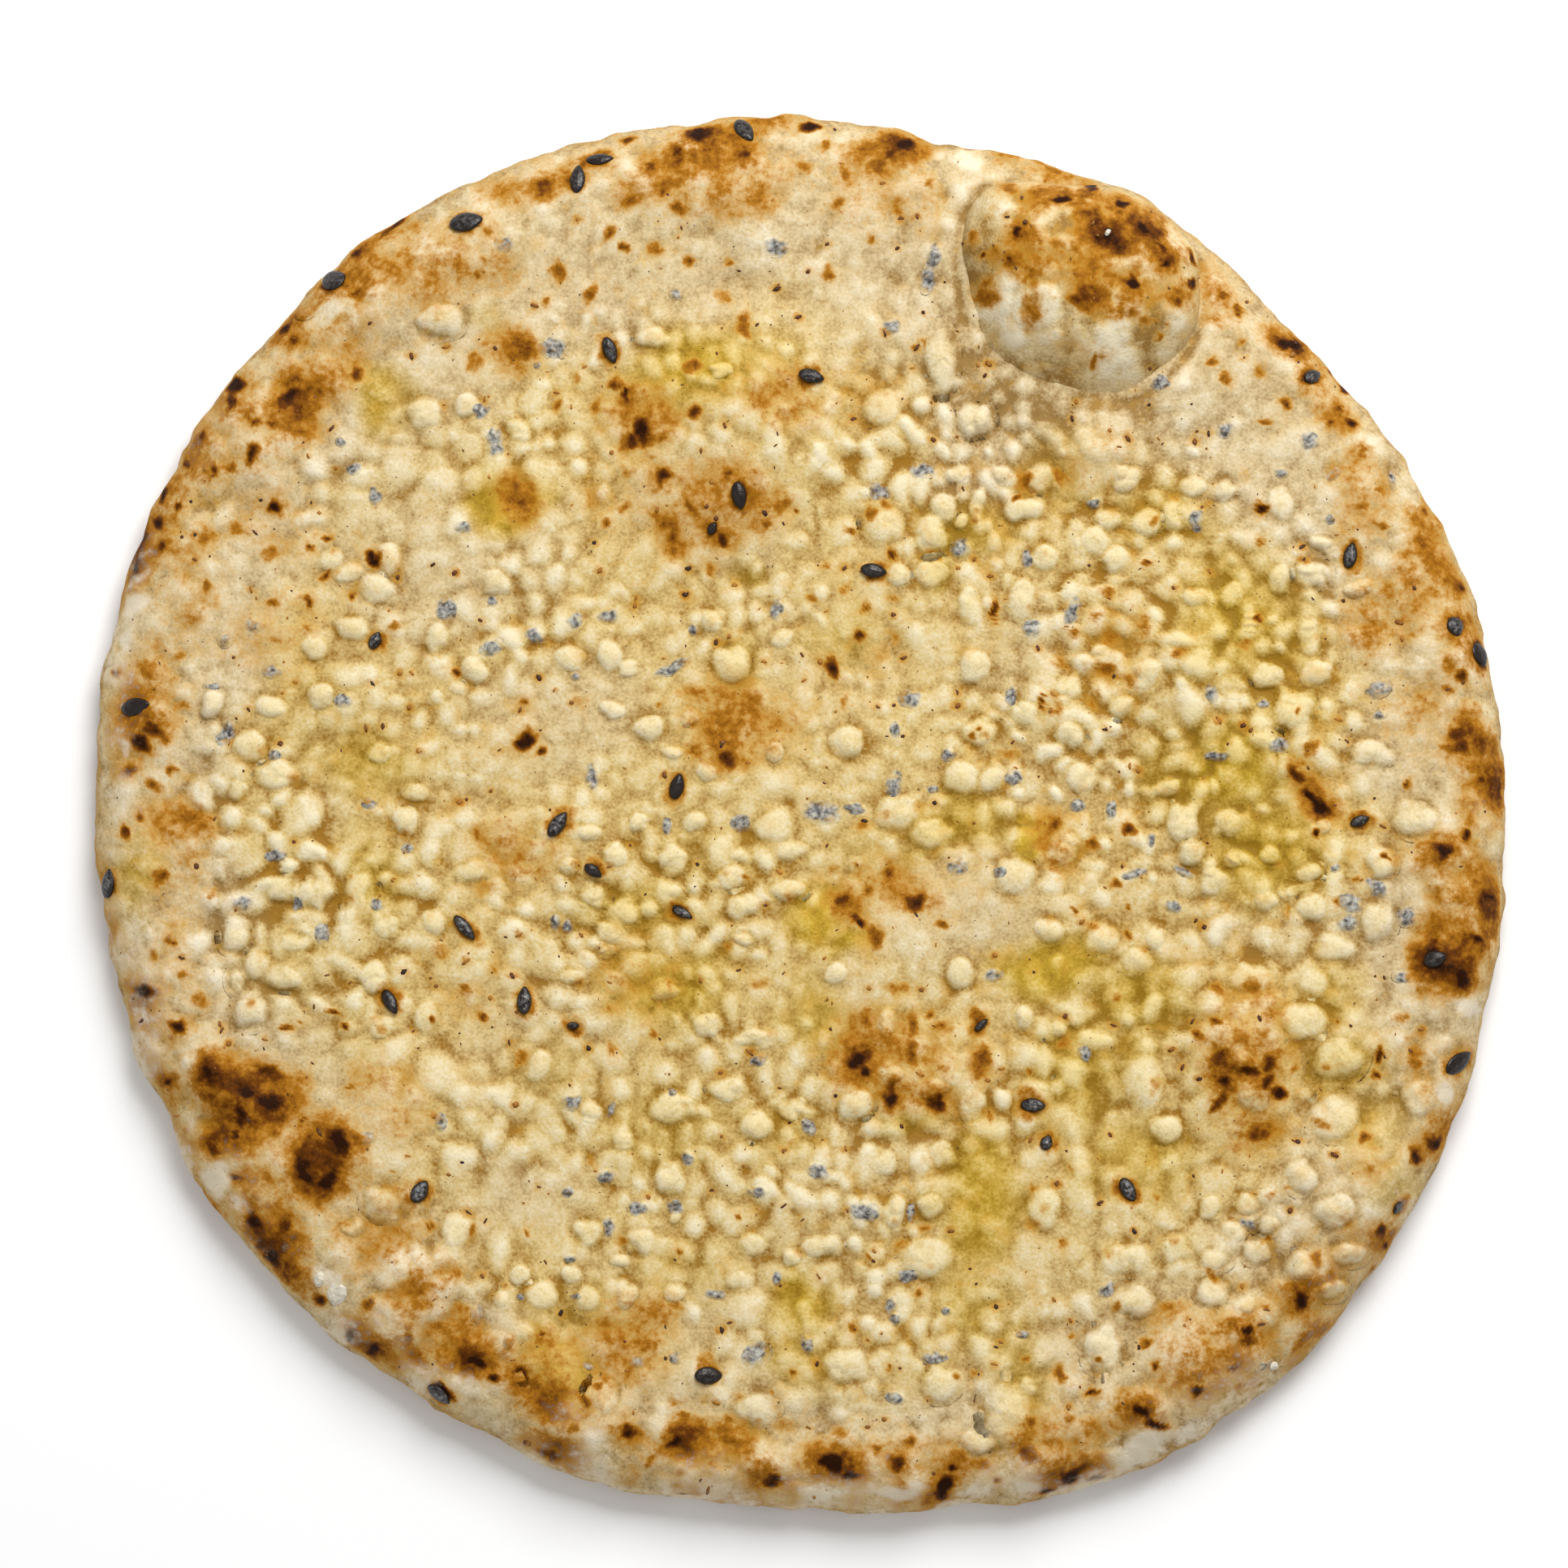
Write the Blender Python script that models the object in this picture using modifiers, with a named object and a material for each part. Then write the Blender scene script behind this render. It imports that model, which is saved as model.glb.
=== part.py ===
"""Cheese pizza: a flat round of browned dough under a thin layer of melted curd cheese.

Two closed solids are built. The crust is the whole bread, with its raised rim, its one large
bubble and the small blisters and seeds of the rim. The cheese is the thin layer that lies on it,
with its grains of curd and its sesame seeds.

Sizes are in millimetres and angles in degrees, anticlockwise from +X; MM turns them into metres.
"""

import math

import bmesh
import bpy
import numpy as np
from mathutils import Matrix

MM = 0.001
SEED = 605
STEPS = 108

# Outer edge of the bread: its radius every ten degrees.
OUTLINE = (
    90.0, 90.0, 90.0, 89.0, 88.5, 88.5, 90.0, 88.5, 88.0, 89.0, 89.5, 90.5,
    91.0, 92.0, 91.5, 91.5, 91.5, 90.5, 90.0, 90.0, 90.0, 90.0, 90.0, 89.5,
    89.0, 89.5, 89.0, 89.0, 90.5, 93.0, 94.5, 95.0, 94.0, 92.5, 91.5, 90.5,
)

# Outer edge of the cheese: its radius every fifteen degrees. It draws back round the bubble.
CHEESE_EDGE = (
    76.0, 76.0, 73.5, 68.0, 58.0, 64.0, 66.5, 69.0, 72.0, 74.0, 76.0, 76.0,
    77.0, 76.5, 75.0, 75.5, 76.5, 77.0, 77.0, 78.0, 79.0, 80.0, 79.5, 77.5,
)

# Nominal radii that the profiles are drawn to, before they follow the two edges above.
NOMINAL_EDGE = 76.0
NOMINAL_RADIUS = 90.0

# Turned profiles from the axis outwards and back: radius, height, share of the relief.
CRUST_PROFILE = (
    (0.0, 7.0, 0.0),
    (72.5, 7.0, 0.0),
    (76.0, 8.0, 1.0),
    (78.2, 8.7, 1.0),
    (80.6, 9.1, 1.0),
    (83.0, 9.1, 1.0),
    (85.2, 8.6, 1.0),
    (87.2, 7.6, 0.8),
    (88.8, 6.1, 0.5),
    (89.9, 4.3, 0.2),
    (89.8, 2.6, 0.0),
    (88.6, 1.0, 0.0),
    (86.4, 0.0, 0.0),
    (0.0, 0.0, 0.0),
)
GAP = 0.3
WELD = 0.02
CHEESE_HEIGHT = 9.0
CHEESE_TOP_RADII = (7, 14, 20, 26, 32, 38, 44, 50, 55.5, 61, 66, 70, 73.4)
CHEESE_EDGE_THICKNESS = 0.5

# Swellings and hollows of the surface: middle x and y, half-lengths, turn, rise.
SWELLINGS = (
    (-9.0, 49.0, 18.5, 18.0, 0, 2.8),
    (-55.0, -41.0, 21.0, 12.0, 14, 2.0),
    (56.0, -32.5, 8.5, 12.5, -12, 2.6),
    (68.5, -49.0, 12.0, 13.0, 0, 2.0),
    (37.5, 45.0, 7.0, 7.5, 0, 2.2),
    (50.0, -70.0, 10.5, 8.0, 25, 2.0),
    (-49.0, -61.5, 10.0, 8.0, 35, 2.2),
    (-28.0, -77.0, 9.0, 6.0, 0, 1.2),
    (-70.0, 46.0, 10.0, 8.5, 0, 1.4),
    (-45.0, 71.0, 17.0, 7.5, 35, 1.3),
    (-13.0, 80.0, 13.0, 7.0, 5, 1.0),
    (21.0, 82.0, 6.5, 5.0, -15, 1.2),
    (64.0, 57.0, 10.0, 4.5, -40, 1.0),
    (82.0, 20.0, 6.0, 8.0, 0, 0.9),
    (81.0, -7.0, 7.0, 8.0, 0, 1.2),
    (81.0, -22.0, 8.0, 6.0, 0, 1.0),
    (-74.0, -35.0, 9.0, 5.0, -45, 1.3),
    (26.5, -11.0, 12.0, 9.0, 0, 1.0),
    (60.0, 8.0, 11.0, 9.0, 35, 1.2),
    (-31.0, -3.0, 9.0, 6.0, 15, 0.9),
    (14.0, -34.0, 13.0, 8.0, 10, 1.0),
    (50.0, 20.0, 12.0, 12.0, 0, 1.0),
    (-44.5, 1.0, 10.0, 3.0, -5, -1.0),
    (-15.0, 27.0, 13.0, 3.5, 15, -1.0),
    (12.0, 18.0, 9.0, 5.0, -50, -0.8),
    (39.0, -38.0, 5.0, 16.0, 0, -0.9),
    (13.0, 70.0, 6.0, 9.0, -20, -0.8),
    (-39.0, -30.0, 12.0, 8.0, 0, -0.5),
)
RIPPLE_COUNT = 150
RIPPLE_RISE = 0.8
RIPPLE_REACH = (5.0, 10.0)
DEEPEST_HOLLOW = 1.2

# The one large bubble: middle x, y, z, half-lengths, turn, depth below its middle.
BUBBLE = (35.3, 66.6, 7.4, 15.6, 13.2, 9.2, -8.0, 6.5)

# Small blisters of the rim: middle x, y, half-lengths, turn, rise above the crust.
RIM_BLISTERS = (
    (43.8, -77.3, 4.6, 3.4, -30, 1.3),
    (56.4, -64.6, 4.2, 3.6, 20, 1.2),
    (63.5, -60.0, 5.0, 4.0, 35, 1.2),
    (-82.0, 9.5, 3.6, 4.6, 10, 0.9),
    (-13.2, 85.0, 4.2, 2.4, -8, 0.8),
    (12.6, 84.6, 3.4, 2.4, -20, 0.8),
    (85.5, 18.5, 2.8, 4.4, 25, 0.9),
    (-74.5, -56.0, 3.4, 3.0, -40, 0.8),
    (31.0, -84.0, 4.4, 2.6, 15, 0.9),
    (-4.0, -83.0, 4.4, 2.8, -10, 0.8),
)

# Sesame seeds that lie on the rim: middle x, y, turn.
RIM_SEEDS = (
    (-42.8, 74.7, 12),
    (-28.6, 80.4, 86),
    (-25.8, 83.1, -4),
    (-7.3, 86.4, -55),
    (-59.8, 67.7, 20),
    (69.7, 31.9, 80),
    (84.6, 22.6, -75),
    (81.6, -32.6, 40),
    (-84.6, 12.5, 15),
    (-86.4, -9.7, 84),
)
SEED_LENGTH = 3.4
SEED_WIDTH = 1.9
SEED_THICKNESS = 1.0

# A flake of salt on the rim: middle x, y, length, width, thickness, turn.
SALT_FLAKE = (-59.6, -61.6, 3.4, 2.2, 0.9, 30.0)

# Sesame seeds that lie bare on the cheese: middle x, y, turn.
CHEESE_SEEDS = (
    (-24.4, 58.5, -72),
    (1.2, 54.8, -18),
    (-8.1, 39.7, -80),
    (-11.4, 35.2, 60),
    (9.1, 30.1, -12),
    (-31.0, -2.3, 55),
    (-26.4, -8.3, -30),
    (-42.7, -15.7, -48),
    (-35.1, -24.8, 88),
    (-52.1, -24.8, -65),
    (-11.8, -72.1, 0),
    (29.3, -37.9, -3),
    (41.2, -48.8, -65),
    (-15.2, -13.7, -30),
    (-15.9, 2.5, 70),
    (-48.2, -48.9, 60),
    (-39.4, 20.2, 60),
)

# Curd grains that stand out singly: middle x, y, half-lengths, turn.
SINGLE_GRAINS = (
    (10.3, 50.9, 2.7, 2.6, 0),
    (17.9, 57.0, 2.1, 4.3, 4),
    (50.0, 40.3, 1.8, 1.8, 0),
    (54.0, 40.3, 1.5, 2.0, 0),
    (47.3, 36.9, 1.6, 2.3, 10),
    (37.2, 33.8, 2.3, 2.2, 0),
    (14.9, 31.5, 2.2, 3.4, 15),
    (62.0, 26.6, 2.6, 2.3, 0),
    (-45.8, 20.3, 2.5, 2.2, -20),
    (-33.4, -61.6, 2.3, 2.3, 0),
    (-22.3, -61.6, 1.8, 1.9, 0),
    (-29.2, -61.0, 2.0, 2.4, 0),
    (-44.2, -53.8, 2.7, 2.7, 0),
    (11.5, -34.1, 1.5, 1.5, 0),
    (54.2, -32.5, 1.9, 1.9, 0),
    (31.0, -25.0, 2.0, 2.6, 0),
    (45.0, -17.6, 1.7, 1.9, 0),
    (38.2, -17.0, 2.2, 2.4, 0),
    (59.0, -47.5, 2.2, 2.2, 0),
    (-65.7, -27.0, 2.6, 2.2, -20),
    (-50.3, -9.3, 2.2, 2.4, 0),
    (-5.3, -14.0, 2.4, 2.2, 0),
    (-70.5, 10.0, 2.4, 1.8, 0),
    (16.5, 4.5, 2.6, 2.2, 20),
)

# Where the other grains lie thick: middle x, y, half-lengths, weight.
GRAIN_FIELDS = (
    (42.0, 12.0, 30.0, 34.0, 1.0),
    (-68.0, -6.0, 14.0, 24.0, 0.8),
    (-15.0, -13.0, 24.0, 12.0, 1.0),
    (-38.0, -62.0, 18.0, 9.0, 0.8),
    (-38.0, 26.0, 20.0, 14.0, 0.7),
    (20.0, 45.0, 20.0, 14.0, 0.9),
    (5.0, -40.0, 24.0, 14.0, 0.6),
    (45.0, -52.0, 14.0, 12.0, 0.6),
    (10.0, -66.0, 24.0, 9.0, 0.4),
)
GRAIN_COUNT = 96
GRAIN_SPACING = 4.6
GRAIN_RADIUS = (1.3, 2.2)
GRAIN_RISE = 1.1
GRAIN_SINK = 0.9

CREAM = (0.84, 0.70, 0.42)
GOLDEN_DOUGH = (0.66, 0.45, 0.20)


def clear_scene():
    """Start from an empty scene."""
    for item in list(bpy.data.objects):
        bpy.data.objects.remove(item, do_unlink=True)


def food_material(name, colour, roughness):
    """A plain coloured material for one sub-part."""
    material = bpy.data.materials.new(name)
    material.use_nodes = True
    shader = material.node_tree.nodes["Principled BSDF"]
    shader.inputs["Base Color"].default_value = (*colour, 1.0)
    shader.inputs["Roughness"].default_value = roughness
    material.diffuse_color = (*colour, 1.0)
    return material


def radius_at(radii, angle):
    """Radius at an angle, on a smooth closed curve through radii given at even steps."""
    values = np.asarray(radii)
    count = len(values)
    place = np.asarray(angle) % 360.0 / 360.0 * count
    first = np.floor(place).astype(int)
    t = place - first
    before, here, after, beyond = (values[(first + k) % count] for k in (-1, 0, 1, 2))
    straight = after - before
    bend = 2 * before - 5 * here + 4 * after - beyond
    twist = beyond - before + 3 * (here - after)
    return 0.5 * (2 * here + straight * t + bend * t**2 + twist * t**3)


def bump(x, y, middle_x, middle_y, half_x, half_y, turn, rise):
    """A smooth oval hill that meets the level all round its edge."""
    angle = math.radians(turn)
    along = (x - middle_x) * math.cos(angle) + (y - middle_y) * math.sin(angle)
    across = (y - middle_y) * math.cos(angle) - (x - middle_x) * math.sin(angle)
    reach = (along / half_x) ** 2 + (across / half_y) ** 2
    return rise * np.clip(1.0 - reach, 0.0, None) ** 1.5


def ripple_field():
    """Seeded small hills and hollows that make the whole surface uneven."""
    draw = np.random.default_rng(SEED)
    distance = 88.0 * np.sqrt(draw.random(RIPPLE_COUNT))
    angle = 2 * math.pi * draw.random(RIPPLE_COUNT)
    half = draw.uniform(*RIPPLE_REACH, (2, RIPPLE_COUNT))
    turn = draw.uniform(0.0, 180.0, RIPPLE_COUNT)
    rise = draw.uniform(-RIPPLE_RISE, RIPPLE_RISE, RIPPLE_COUNT)
    return tuple(zip(distance * np.cos(angle), distance * np.sin(angle), *half, turn, rise))


RIPPLES = ripple_field()


def relief(x, y):
    """Height of the swellings, the hollows and the ripples at a place."""
    x = np.asarray(x, float)
    y = np.asarray(y, float)
    height = sum(bump(x, y, *hill) for hill in SWELLINGS + RIPPLES)
    hollow = np.minimum(height, 0.0)
    return np.maximum(height, 0.0) + hollow / (1.0 - hollow / DEEPEST_HOLLOW)


def cheese_surface(x, y):
    """Height of the top of the cheese at a place."""
    return CHEESE_HEIGHT + relief(x, y)


def crust_surface(x, y):
    """Height of the top of the rim at a place outside the cheese."""
    angle = np.degrees(np.arctan2(y, x))
    inner = radius_at(CHEESE_EDGE, angle)
    outer = radius_at(OUTLINE, angle)
    share = (np.hypot(x, y) - inner) / (outer - inner)
    nominal = NOMINAL_EDGE + share * (NOMINAL_RADIUS - NOMINAL_EDGE)
    rows = np.array([row for row in CRUST_PROFILE[2:10]])
    base = np.interp(nominal, rows[:, 0], rows[:, 1])
    part = np.interp(nominal, rows[:, 0], rows[:, 2])
    return base + part * relief(x, y)


def turned_mesh(name, profile):
    """The mesh of a profile turned about the Z axis with a Screw modifier."""
    mesh = bpy.data.meshes.new(name + "_profile")
    points = [(row[0] * MM, 0.0, row[1] * MM) for row in profile]
    mesh.from_pydata(points, [(k, k + 1) for k in range(len(points) - 1)], [])
    guide = bpy.data.objects.new(name + "_profile", mesh)
    bpy.context.scene.collection.objects.link(guide)
    screw = guide.modifiers.new("turn", "SCREW")
    screw.steps = STEPS
    screw.render_steps = STEPS
    screw.use_merge_vertices = True
    screw.merge_threshold = 0.0001
    screw.use_normal_calculate = False
    graph = bpy.context.evaluated_depsgraph_get()
    turned = bpy.data.meshes.new_from_object(guide.evaluated_get(graph))
    bpy.data.objects.remove(guide, do_unlink=True)
    turned.name = name
    return turned


def shape_to_edges(mesh, profile):
    """Pull a turned mesh out to the two uneven edges and lay the relief on it."""
    rows = np.asarray(profile)
    points = np.empty(len(mesh.vertices) * 3)
    mesh.vertices.foreach_get("co", points)
    x, y, z = points.reshape(-1, 3).T / MM
    nominal = np.hypot(x, y)
    angle = np.degrees(np.arctan2(y, x))
    gaps = (nominal[:, None] - rows[:, 0]) ** 2 + (z[:, None] - rows[:, 1]) ** 2
    share = rows[np.argmin(gaps, axis=1), 2]
    inner = radius_at(CHEESE_EDGE, angle)
    outer = radius_at(OUTLINE, angle)
    rim = (nominal - NOMINAL_EDGE) / (NOMINAL_RADIUS - NOMINAL_EDGE)
    radius = np.where(rim <= 0, nominal / NOMINAL_EDGE * inner, inner + rim * (outer - inner))
    turn = np.radians(angle)
    x = radius * np.cos(turn)
    y = radius * np.sin(turn)
    z = z + share * relief(x, y)
    mesh.vertices.foreach_set("co", np.column_stack([x, y, z]).ravel() * MM)


def finished_body(name, profile, collection, material):
    """A closed, triangulated, outward-facing turned body that follows the edges."""
    mesh = turned_mesh(name, profile)
    shape_to_edges(mesh, profile)
    work = bmesh.new()
    work.from_mesh(mesh)
    bmesh.ops.remove_doubles(work, verts=work.verts, dist=0.01 * MM)
    bmesh.ops.recalc_face_normals(work, faces=work.faces)
    bmesh.ops.triangulate(work, faces=work.faces, quad_method="SHORT_EDGE")
    work.to_mesh(mesh)
    work.free()
    mesh.materials.clear()
    mesh.materials.append(material)
    body = bpy.data.objects.new(name, mesh)
    collection.objects.link(body)
    return body


def cheese_profile():
    """Profile of the cheese: out along the top, round its thin edge and back along the underside."""
    edge_under = CRUST_PROFILE[2][1] + GAP
    top = [(0.0, CHEESE_HEIGHT, 1.0)]
    top += [(radius, CHEESE_HEIGHT, 1.0) for radius in CHEESE_TOP_RADII]
    edge = [
        (NOMINAL_EDGE, edge_under + CHEESE_EDGE_THICKNESS, 1.0),
        (NOMINAL_EDGE, edge_under, 1.0),
    ]
    flat = CRUST_PROFILE[1]
    under = [(flat[0], flat[1] + GAP, 0.0), (0.0, flat[1] + GAP, 0.0)]
    return tuple(top + edge + under)


def add_ball(name, collection, segments, rings):
    """A unit ball to be squashed into a grain, a seed or a blister."""
    mesh = bpy.data.meshes.new(name)
    work = bmesh.new()
    bmesh.ops.create_uvsphere(work, u_segments=segments, v_segments=rings, radius=1.0)
    bmesh.ops.triangulate(work, faces=work.faces)
    work.to_mesh(mesh)
    work.free()
    ball = bpy.data.objects.new(name, mesh)
    collection.objects.link(ball)
    return ball


def settle(ball, place, half, turn, depth=None):
    """Size a ball, give it a shallower underside if asked, turn it and set it down."""
    low = half[2] if depth is None else depth
    for vertex in ball.data.vertices:
        vertex.co.x *= half[0] * MM
        vertex.co.y *= half[1] * MM
        vertex.co.z *= (half[2] if vertex.co.z > 0 else low) * MM
    matrix = Matrix.Translation([value * MM for value in place])
    ball.data.transform(matrix @ Matrix.Rotation(math.radians(turn), 4, "Z"))


def add_grain(collection, x, y, half_x, half_y, turn):
    """A domed grain of curd, part sunk in the cheese."""
    ball = add_ball("grain", collection, 6, 4)
    rise = GRAIN_RISE * math.sqrt(min(half_x, half_y) / 2.0)
    level = float(cheese_surface(x, y)) - 0.25
    sink = min(GRAIN_SINK, level - CRUST_PROFILE[0][1] - GAP - 0.1)
    settle(ball, (x, y, level), (half_x, half_y, rise + 0.25), turn, sink)


def add_seed(collection, x, y, turn, surface):
    """A sesame seed lying flat: an oval drawn to a point at one end, half sunk."""
    ball = add_ball("seed", collection, 6, 4)
    for vertex in ball.data.vertices:
        vertex.co.y *= 1.0 - 0.35 * max(vertex.co.x, 0.0)
    half = (SEED_LENGTH / 2, SEED_WIDTH / 2, SEED_THICKNESS * 0.7)
    settle(ball, (x, y, float(surface(x, y))), half, turn, SEED_THICKNESS * 0.5)


def scattered_grains():
    """Places and sizes of the other grains, drawn by chance where the fields are thick."""
    draw = np.random.default_rng(SEED + 1)
    taken = [grain[:2] for grain in SINGLE_GRAINS] + [seed[:2] for seed in CHEESE_SEEDS]
    grains = []
    while len(grains) < GRAIN_COUNT:
        x, y = draw.uniform(-78.0, 78.0, 2)
        edge = radius_at(CHEESE_EDGE, math.degrees(math.atan2(y, x)))
        weight = 0.06 + max(bump(x, y, *field[:4], 0, field[4]) for field in GRAIN_FIELDS)
        nearest = min(math.hypot(x - a, y - b) for a, b in taken)
        inside = math.hypot(x, y) < edge - 4.0
        if inside and nearest > GRAIN_SPACING and draw.random() < weight:
            size = draw.uniform(*GRAIN_RADIUS)
            stretch = draw.uniform(0.85, 1.25)
            grains.append((x, y, size * stretch, size / stretch, draw.uniform(0, 180)))
            taken.append((x, y))
    return grains


def add_salt_flake(collection):
    """A broken flake of salt: a low block with cut corners."""
    x, y, length, width, thickness, turn = SALT_FLAKE
    ball = add_ball("salt_flake", collection, 6, 4)
    place = (x, y, float(crust_surface(x, y)) + 0.1)
    settle(ball, place, (length / 2, width / 2, thickness), turn)


def fuse(body, collection):
    """Join the pieces of a collection to a body, then drop the pieces."""
    join = body.modifiers.new("fuse", "BOOLEAN")
    join.operation = "UNION"
    join.operand_type = "COLLECTION"
    join.collection = collection
    join.solver = "MANIFOLD"
    graph = bpy.context.evaluated_depsgraph_get()
    fused = bpy.data.meshes.new_from_object(body.evaluated_get(graph))
    fused.name = body.name
    body.modifiers.clear()
    body.data = fused
    for piece in list(collection.objects):
        bpy.data.objects.remove(piece, do_unlink=True)
    bpy.data.collections.remove(collection)


def shells_of(work):
    """The sets of faces that hang together across their edges."""
    waiting = set(work.faces)
    shells = []
    while waiting:
        front = [waiting.pop()]
        shell = set(front)
        while front:
            for edge in front.pop().edges:
                for face in edge.link_faces:
                    if face in waiting:
                        waiting.discard(face)
                        shell.add(face)
                        front.append(face)
        shells.append(shell)
    return shells


def keep_outer_shell(body):
    """Weld the fused mesh and keep only its largest closed shell, which fills any sealed hollow."""
    work = bmesh.new()
    work.from_mesh(body.data)
    bmesh.ops.remove_doubles(work, verts=work.verts, dist=WELD * MM)
    bmesh.ops.dissolve_degenerate(work, edges=work.edges, dist=WELD * MM)
    bmesh.ops.triangulate(work, faces=work.faces)
    largest = max(shells_of(work), key=len)
    scrap = [face for face in work.faces if face not in largest]
    bmesh.ops.delete(work, geom=scrap, context="FACES")
    work.to_mesh(body.data)
    work.free()


def smooth(body, material):
    """Give a body its material and smooth shading, with sharp corners kept sharp."""
    body.data.materials.clear()
    body.data.materials.append(material)
    for face in body.data.polygons:
        face.material_index = 0
    body.data.shade_smooth()
    body.data.set_sharp_from_angle(angle=math.radians(50))


def build_crust(pizza):
    """The bread: turned dough with its bubble, its rim blisters, seeds and salt flake fused on."""
    material = food_material("baked_dough", GOLDEN_DOUGH, 0.7)
    crust = finished_body("crust", CRUST_PROFILE, pizza, material)
    pieces = bpy.data.collections.new("crust_pieces")
    bpy.context.scene.collection.children.link(pieces)
    x, y, z, half_x, half_y, half_z, turn, depth = BUBBLE
    settle(add_ball("bubble", pieces, 28, 14), (x, y, z), (half_x, half_y, half_z), turn, depth)
    for x, y, half_x, half_y, turn, rise in RIM_BLISTERS:
        place = (x, y, float(crust_surface(x, y)) - 0.8)
        settle(add_ball("blister", pieces, 10, 6), place, (half_x, half_y, rise + 0.8), turn)
    for x, y, turn in RIM_SEEDS:
        add_seed(pieces, x, y, turn, crust_surface)
    add_salt_flake(pieces)
    fuse(crust, pieces)
    keep_outer_shell(crust)
    smooth(crust, material)
    return crust


def build_cheese(pizza):
    """The cheese: a thin turned layer with its grains and seeds fused on."""
    material = food_material("melted_curd_cheese", CREAM, 0.45)
    cheese = finished_body("cheese", cheese_profile(), pizza, material)
    pieces = bpy.data.collections.new("cheese_pieces")
    bpy.context.scene.collection.children.link(pieces)
    for grain in list(SINGLE_GRAINS) + scattered_grains():
        add_grain(pieces, *grain)
    for x, y, turn in CHEESE_SEEDS:
        add_seed(pieces, x, y, turn, cheese_surface)
    fuse(cheese, pieces)
    keep_outer_shell(cheese)
    smooth(cheese, material)
    return cheese


def main():
    clear_scene()
    pizza = bpy.data.collections.new("cheese_pizza")
    bpy.context.scene.collection.children.link(pizza)
    build_crust(pizza)
    build_cheese(pizza)


if __name__ == "__main__":
    main()
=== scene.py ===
"""Cheese pizza: the looks of a flat round of browned dough under melted curd cheese.

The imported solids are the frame. Each visible piece is a surface worked out as whole arrays, and
the solid it replaces is hidden. Lengths in the tables are in millimetres and angles in degrees,
anticlockwise from +X; MM turns millimetres into metres.
"""

import functools
import math

import bpy
import numpy as np
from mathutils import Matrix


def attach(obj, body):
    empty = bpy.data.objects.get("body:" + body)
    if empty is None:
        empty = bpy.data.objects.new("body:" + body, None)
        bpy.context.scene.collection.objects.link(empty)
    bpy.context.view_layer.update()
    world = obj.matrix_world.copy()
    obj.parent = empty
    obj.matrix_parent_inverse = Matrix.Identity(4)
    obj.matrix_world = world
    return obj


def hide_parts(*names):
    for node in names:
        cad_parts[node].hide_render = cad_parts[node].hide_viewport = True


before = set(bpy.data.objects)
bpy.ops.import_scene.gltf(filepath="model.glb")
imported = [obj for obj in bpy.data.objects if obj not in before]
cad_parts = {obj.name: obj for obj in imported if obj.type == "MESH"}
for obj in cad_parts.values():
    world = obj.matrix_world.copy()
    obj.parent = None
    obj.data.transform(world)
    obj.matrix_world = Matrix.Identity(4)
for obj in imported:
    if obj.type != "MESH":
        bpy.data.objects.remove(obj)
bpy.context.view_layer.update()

bl_info = {
    "name": "Cheese pizza",
    "version": (1, 0, 0),
    "blender": (4, 5, 0),
    "location": "3D View > Sidebar > Pizza",
    "description": "Builds the crust, the cheese and the toppings of a round cheese pizza",
    "category": "Object",
}

MM = 0.001
SEED = 605

# The bread's usual radius, the usual width of its rim outside the cheese, and the rings of its flat
# base as shares of the base's radius.
RADIUS = 90.0
RIM_WIDTH = 15.0
BASE_RINGS = (0.9, 0.7, 0.4, 0.15)

# How places are stirred before a thing is laid there: how far, by eddies of what size, seed.
LUMP_STIR = (0.8, 4.2, 31)
GRAIN_STIR = (0.42, 2.3, 61)
MARK_STIR = (0.55, 2.6, 40)
CRUMB_STIR = (0.3, 1.1, 44)
ZONE_STIR = (1.8, 7.0, 50)
POOL_STIR = (1.6, 6.0, 80)
FLOUR_STIR = (0.8, 2.6, 40)

# Outer edge of the bread: its radius every ten degrees.
OUTLINE = (
    90, 90, 90, 89, 88.5, 88.5, 90, 88.5, 88, 89.2, 89.5, 90.5,
    91, 92, 91.5, 91.5, 91.5, 90.5, 90, 90, 90, 90, 90, 89.5,
    89, 89.5, 89, 89, 90.5, 93, 94.5, 95, 94, 92.5, 91.5, 90.5,
)

# Outer edge of the cheese: its radius every fifteen degrees. It draws back round the bubble.
CHEESE_EDGE = (
    76, 76, 73.5, 68, 58, 64, 66.5, 69, 72, 74, 76, 76,
    77, 76.5, 75, 75.5, 76.5, 77, 77, 78, 79, 80, 79.5, 77.5,
)

# The turned profile from inside the cheese's edge outwards and back along the base: share of
# the way from the cheese's edge to the outer edge, height, share of the relief.
CRUST_PROFILE = (
    (-0.42, 9, 0.8),
    (-0.25, 9, 1),
    (-0.1, 9, 1),
    (0, 8.95, 1),
    (0.16, 8.95, 1),
    (0.33, 9.1, 1),
    (0.5, 9.1, 1),
    (0.66, 8.6, 1),
    (0.8, 7.6, 0.8),
    (0.914, 6.1, 0.5),
    (0.993, 4.3, 0.2),
    (0.986, 2.6, 0),
    (0.9, 1, 0),
    (0.74, 0, 0),
)
# How many of those rows lie on the top, down to the widest line.
PROFILE_TOP = 11

# How deep the bread and the cheese lie under the shared surface, by the same share of the way:
# they cross near the cheese's edge, so the joint hardly shows.
BREAD_DEPTH = ((-0.42, -0.25, -0.12, 0.0, 0.12), (1.9, 1.0, 0.28, 0.10, 0.0))
CHEESE_DEPTH = ((-0.12, 0.0, 0.10, 0.13), (0.0, 0.10, 0.35, 0.9))
# How far the cheese reaches past its edge, as that share, and its height and its underside's.
CHEESE_REACH = 0.13
CHEESE_HEIGHT = 9.0
CHEESE_UNDERSIDE = 7.3

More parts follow.
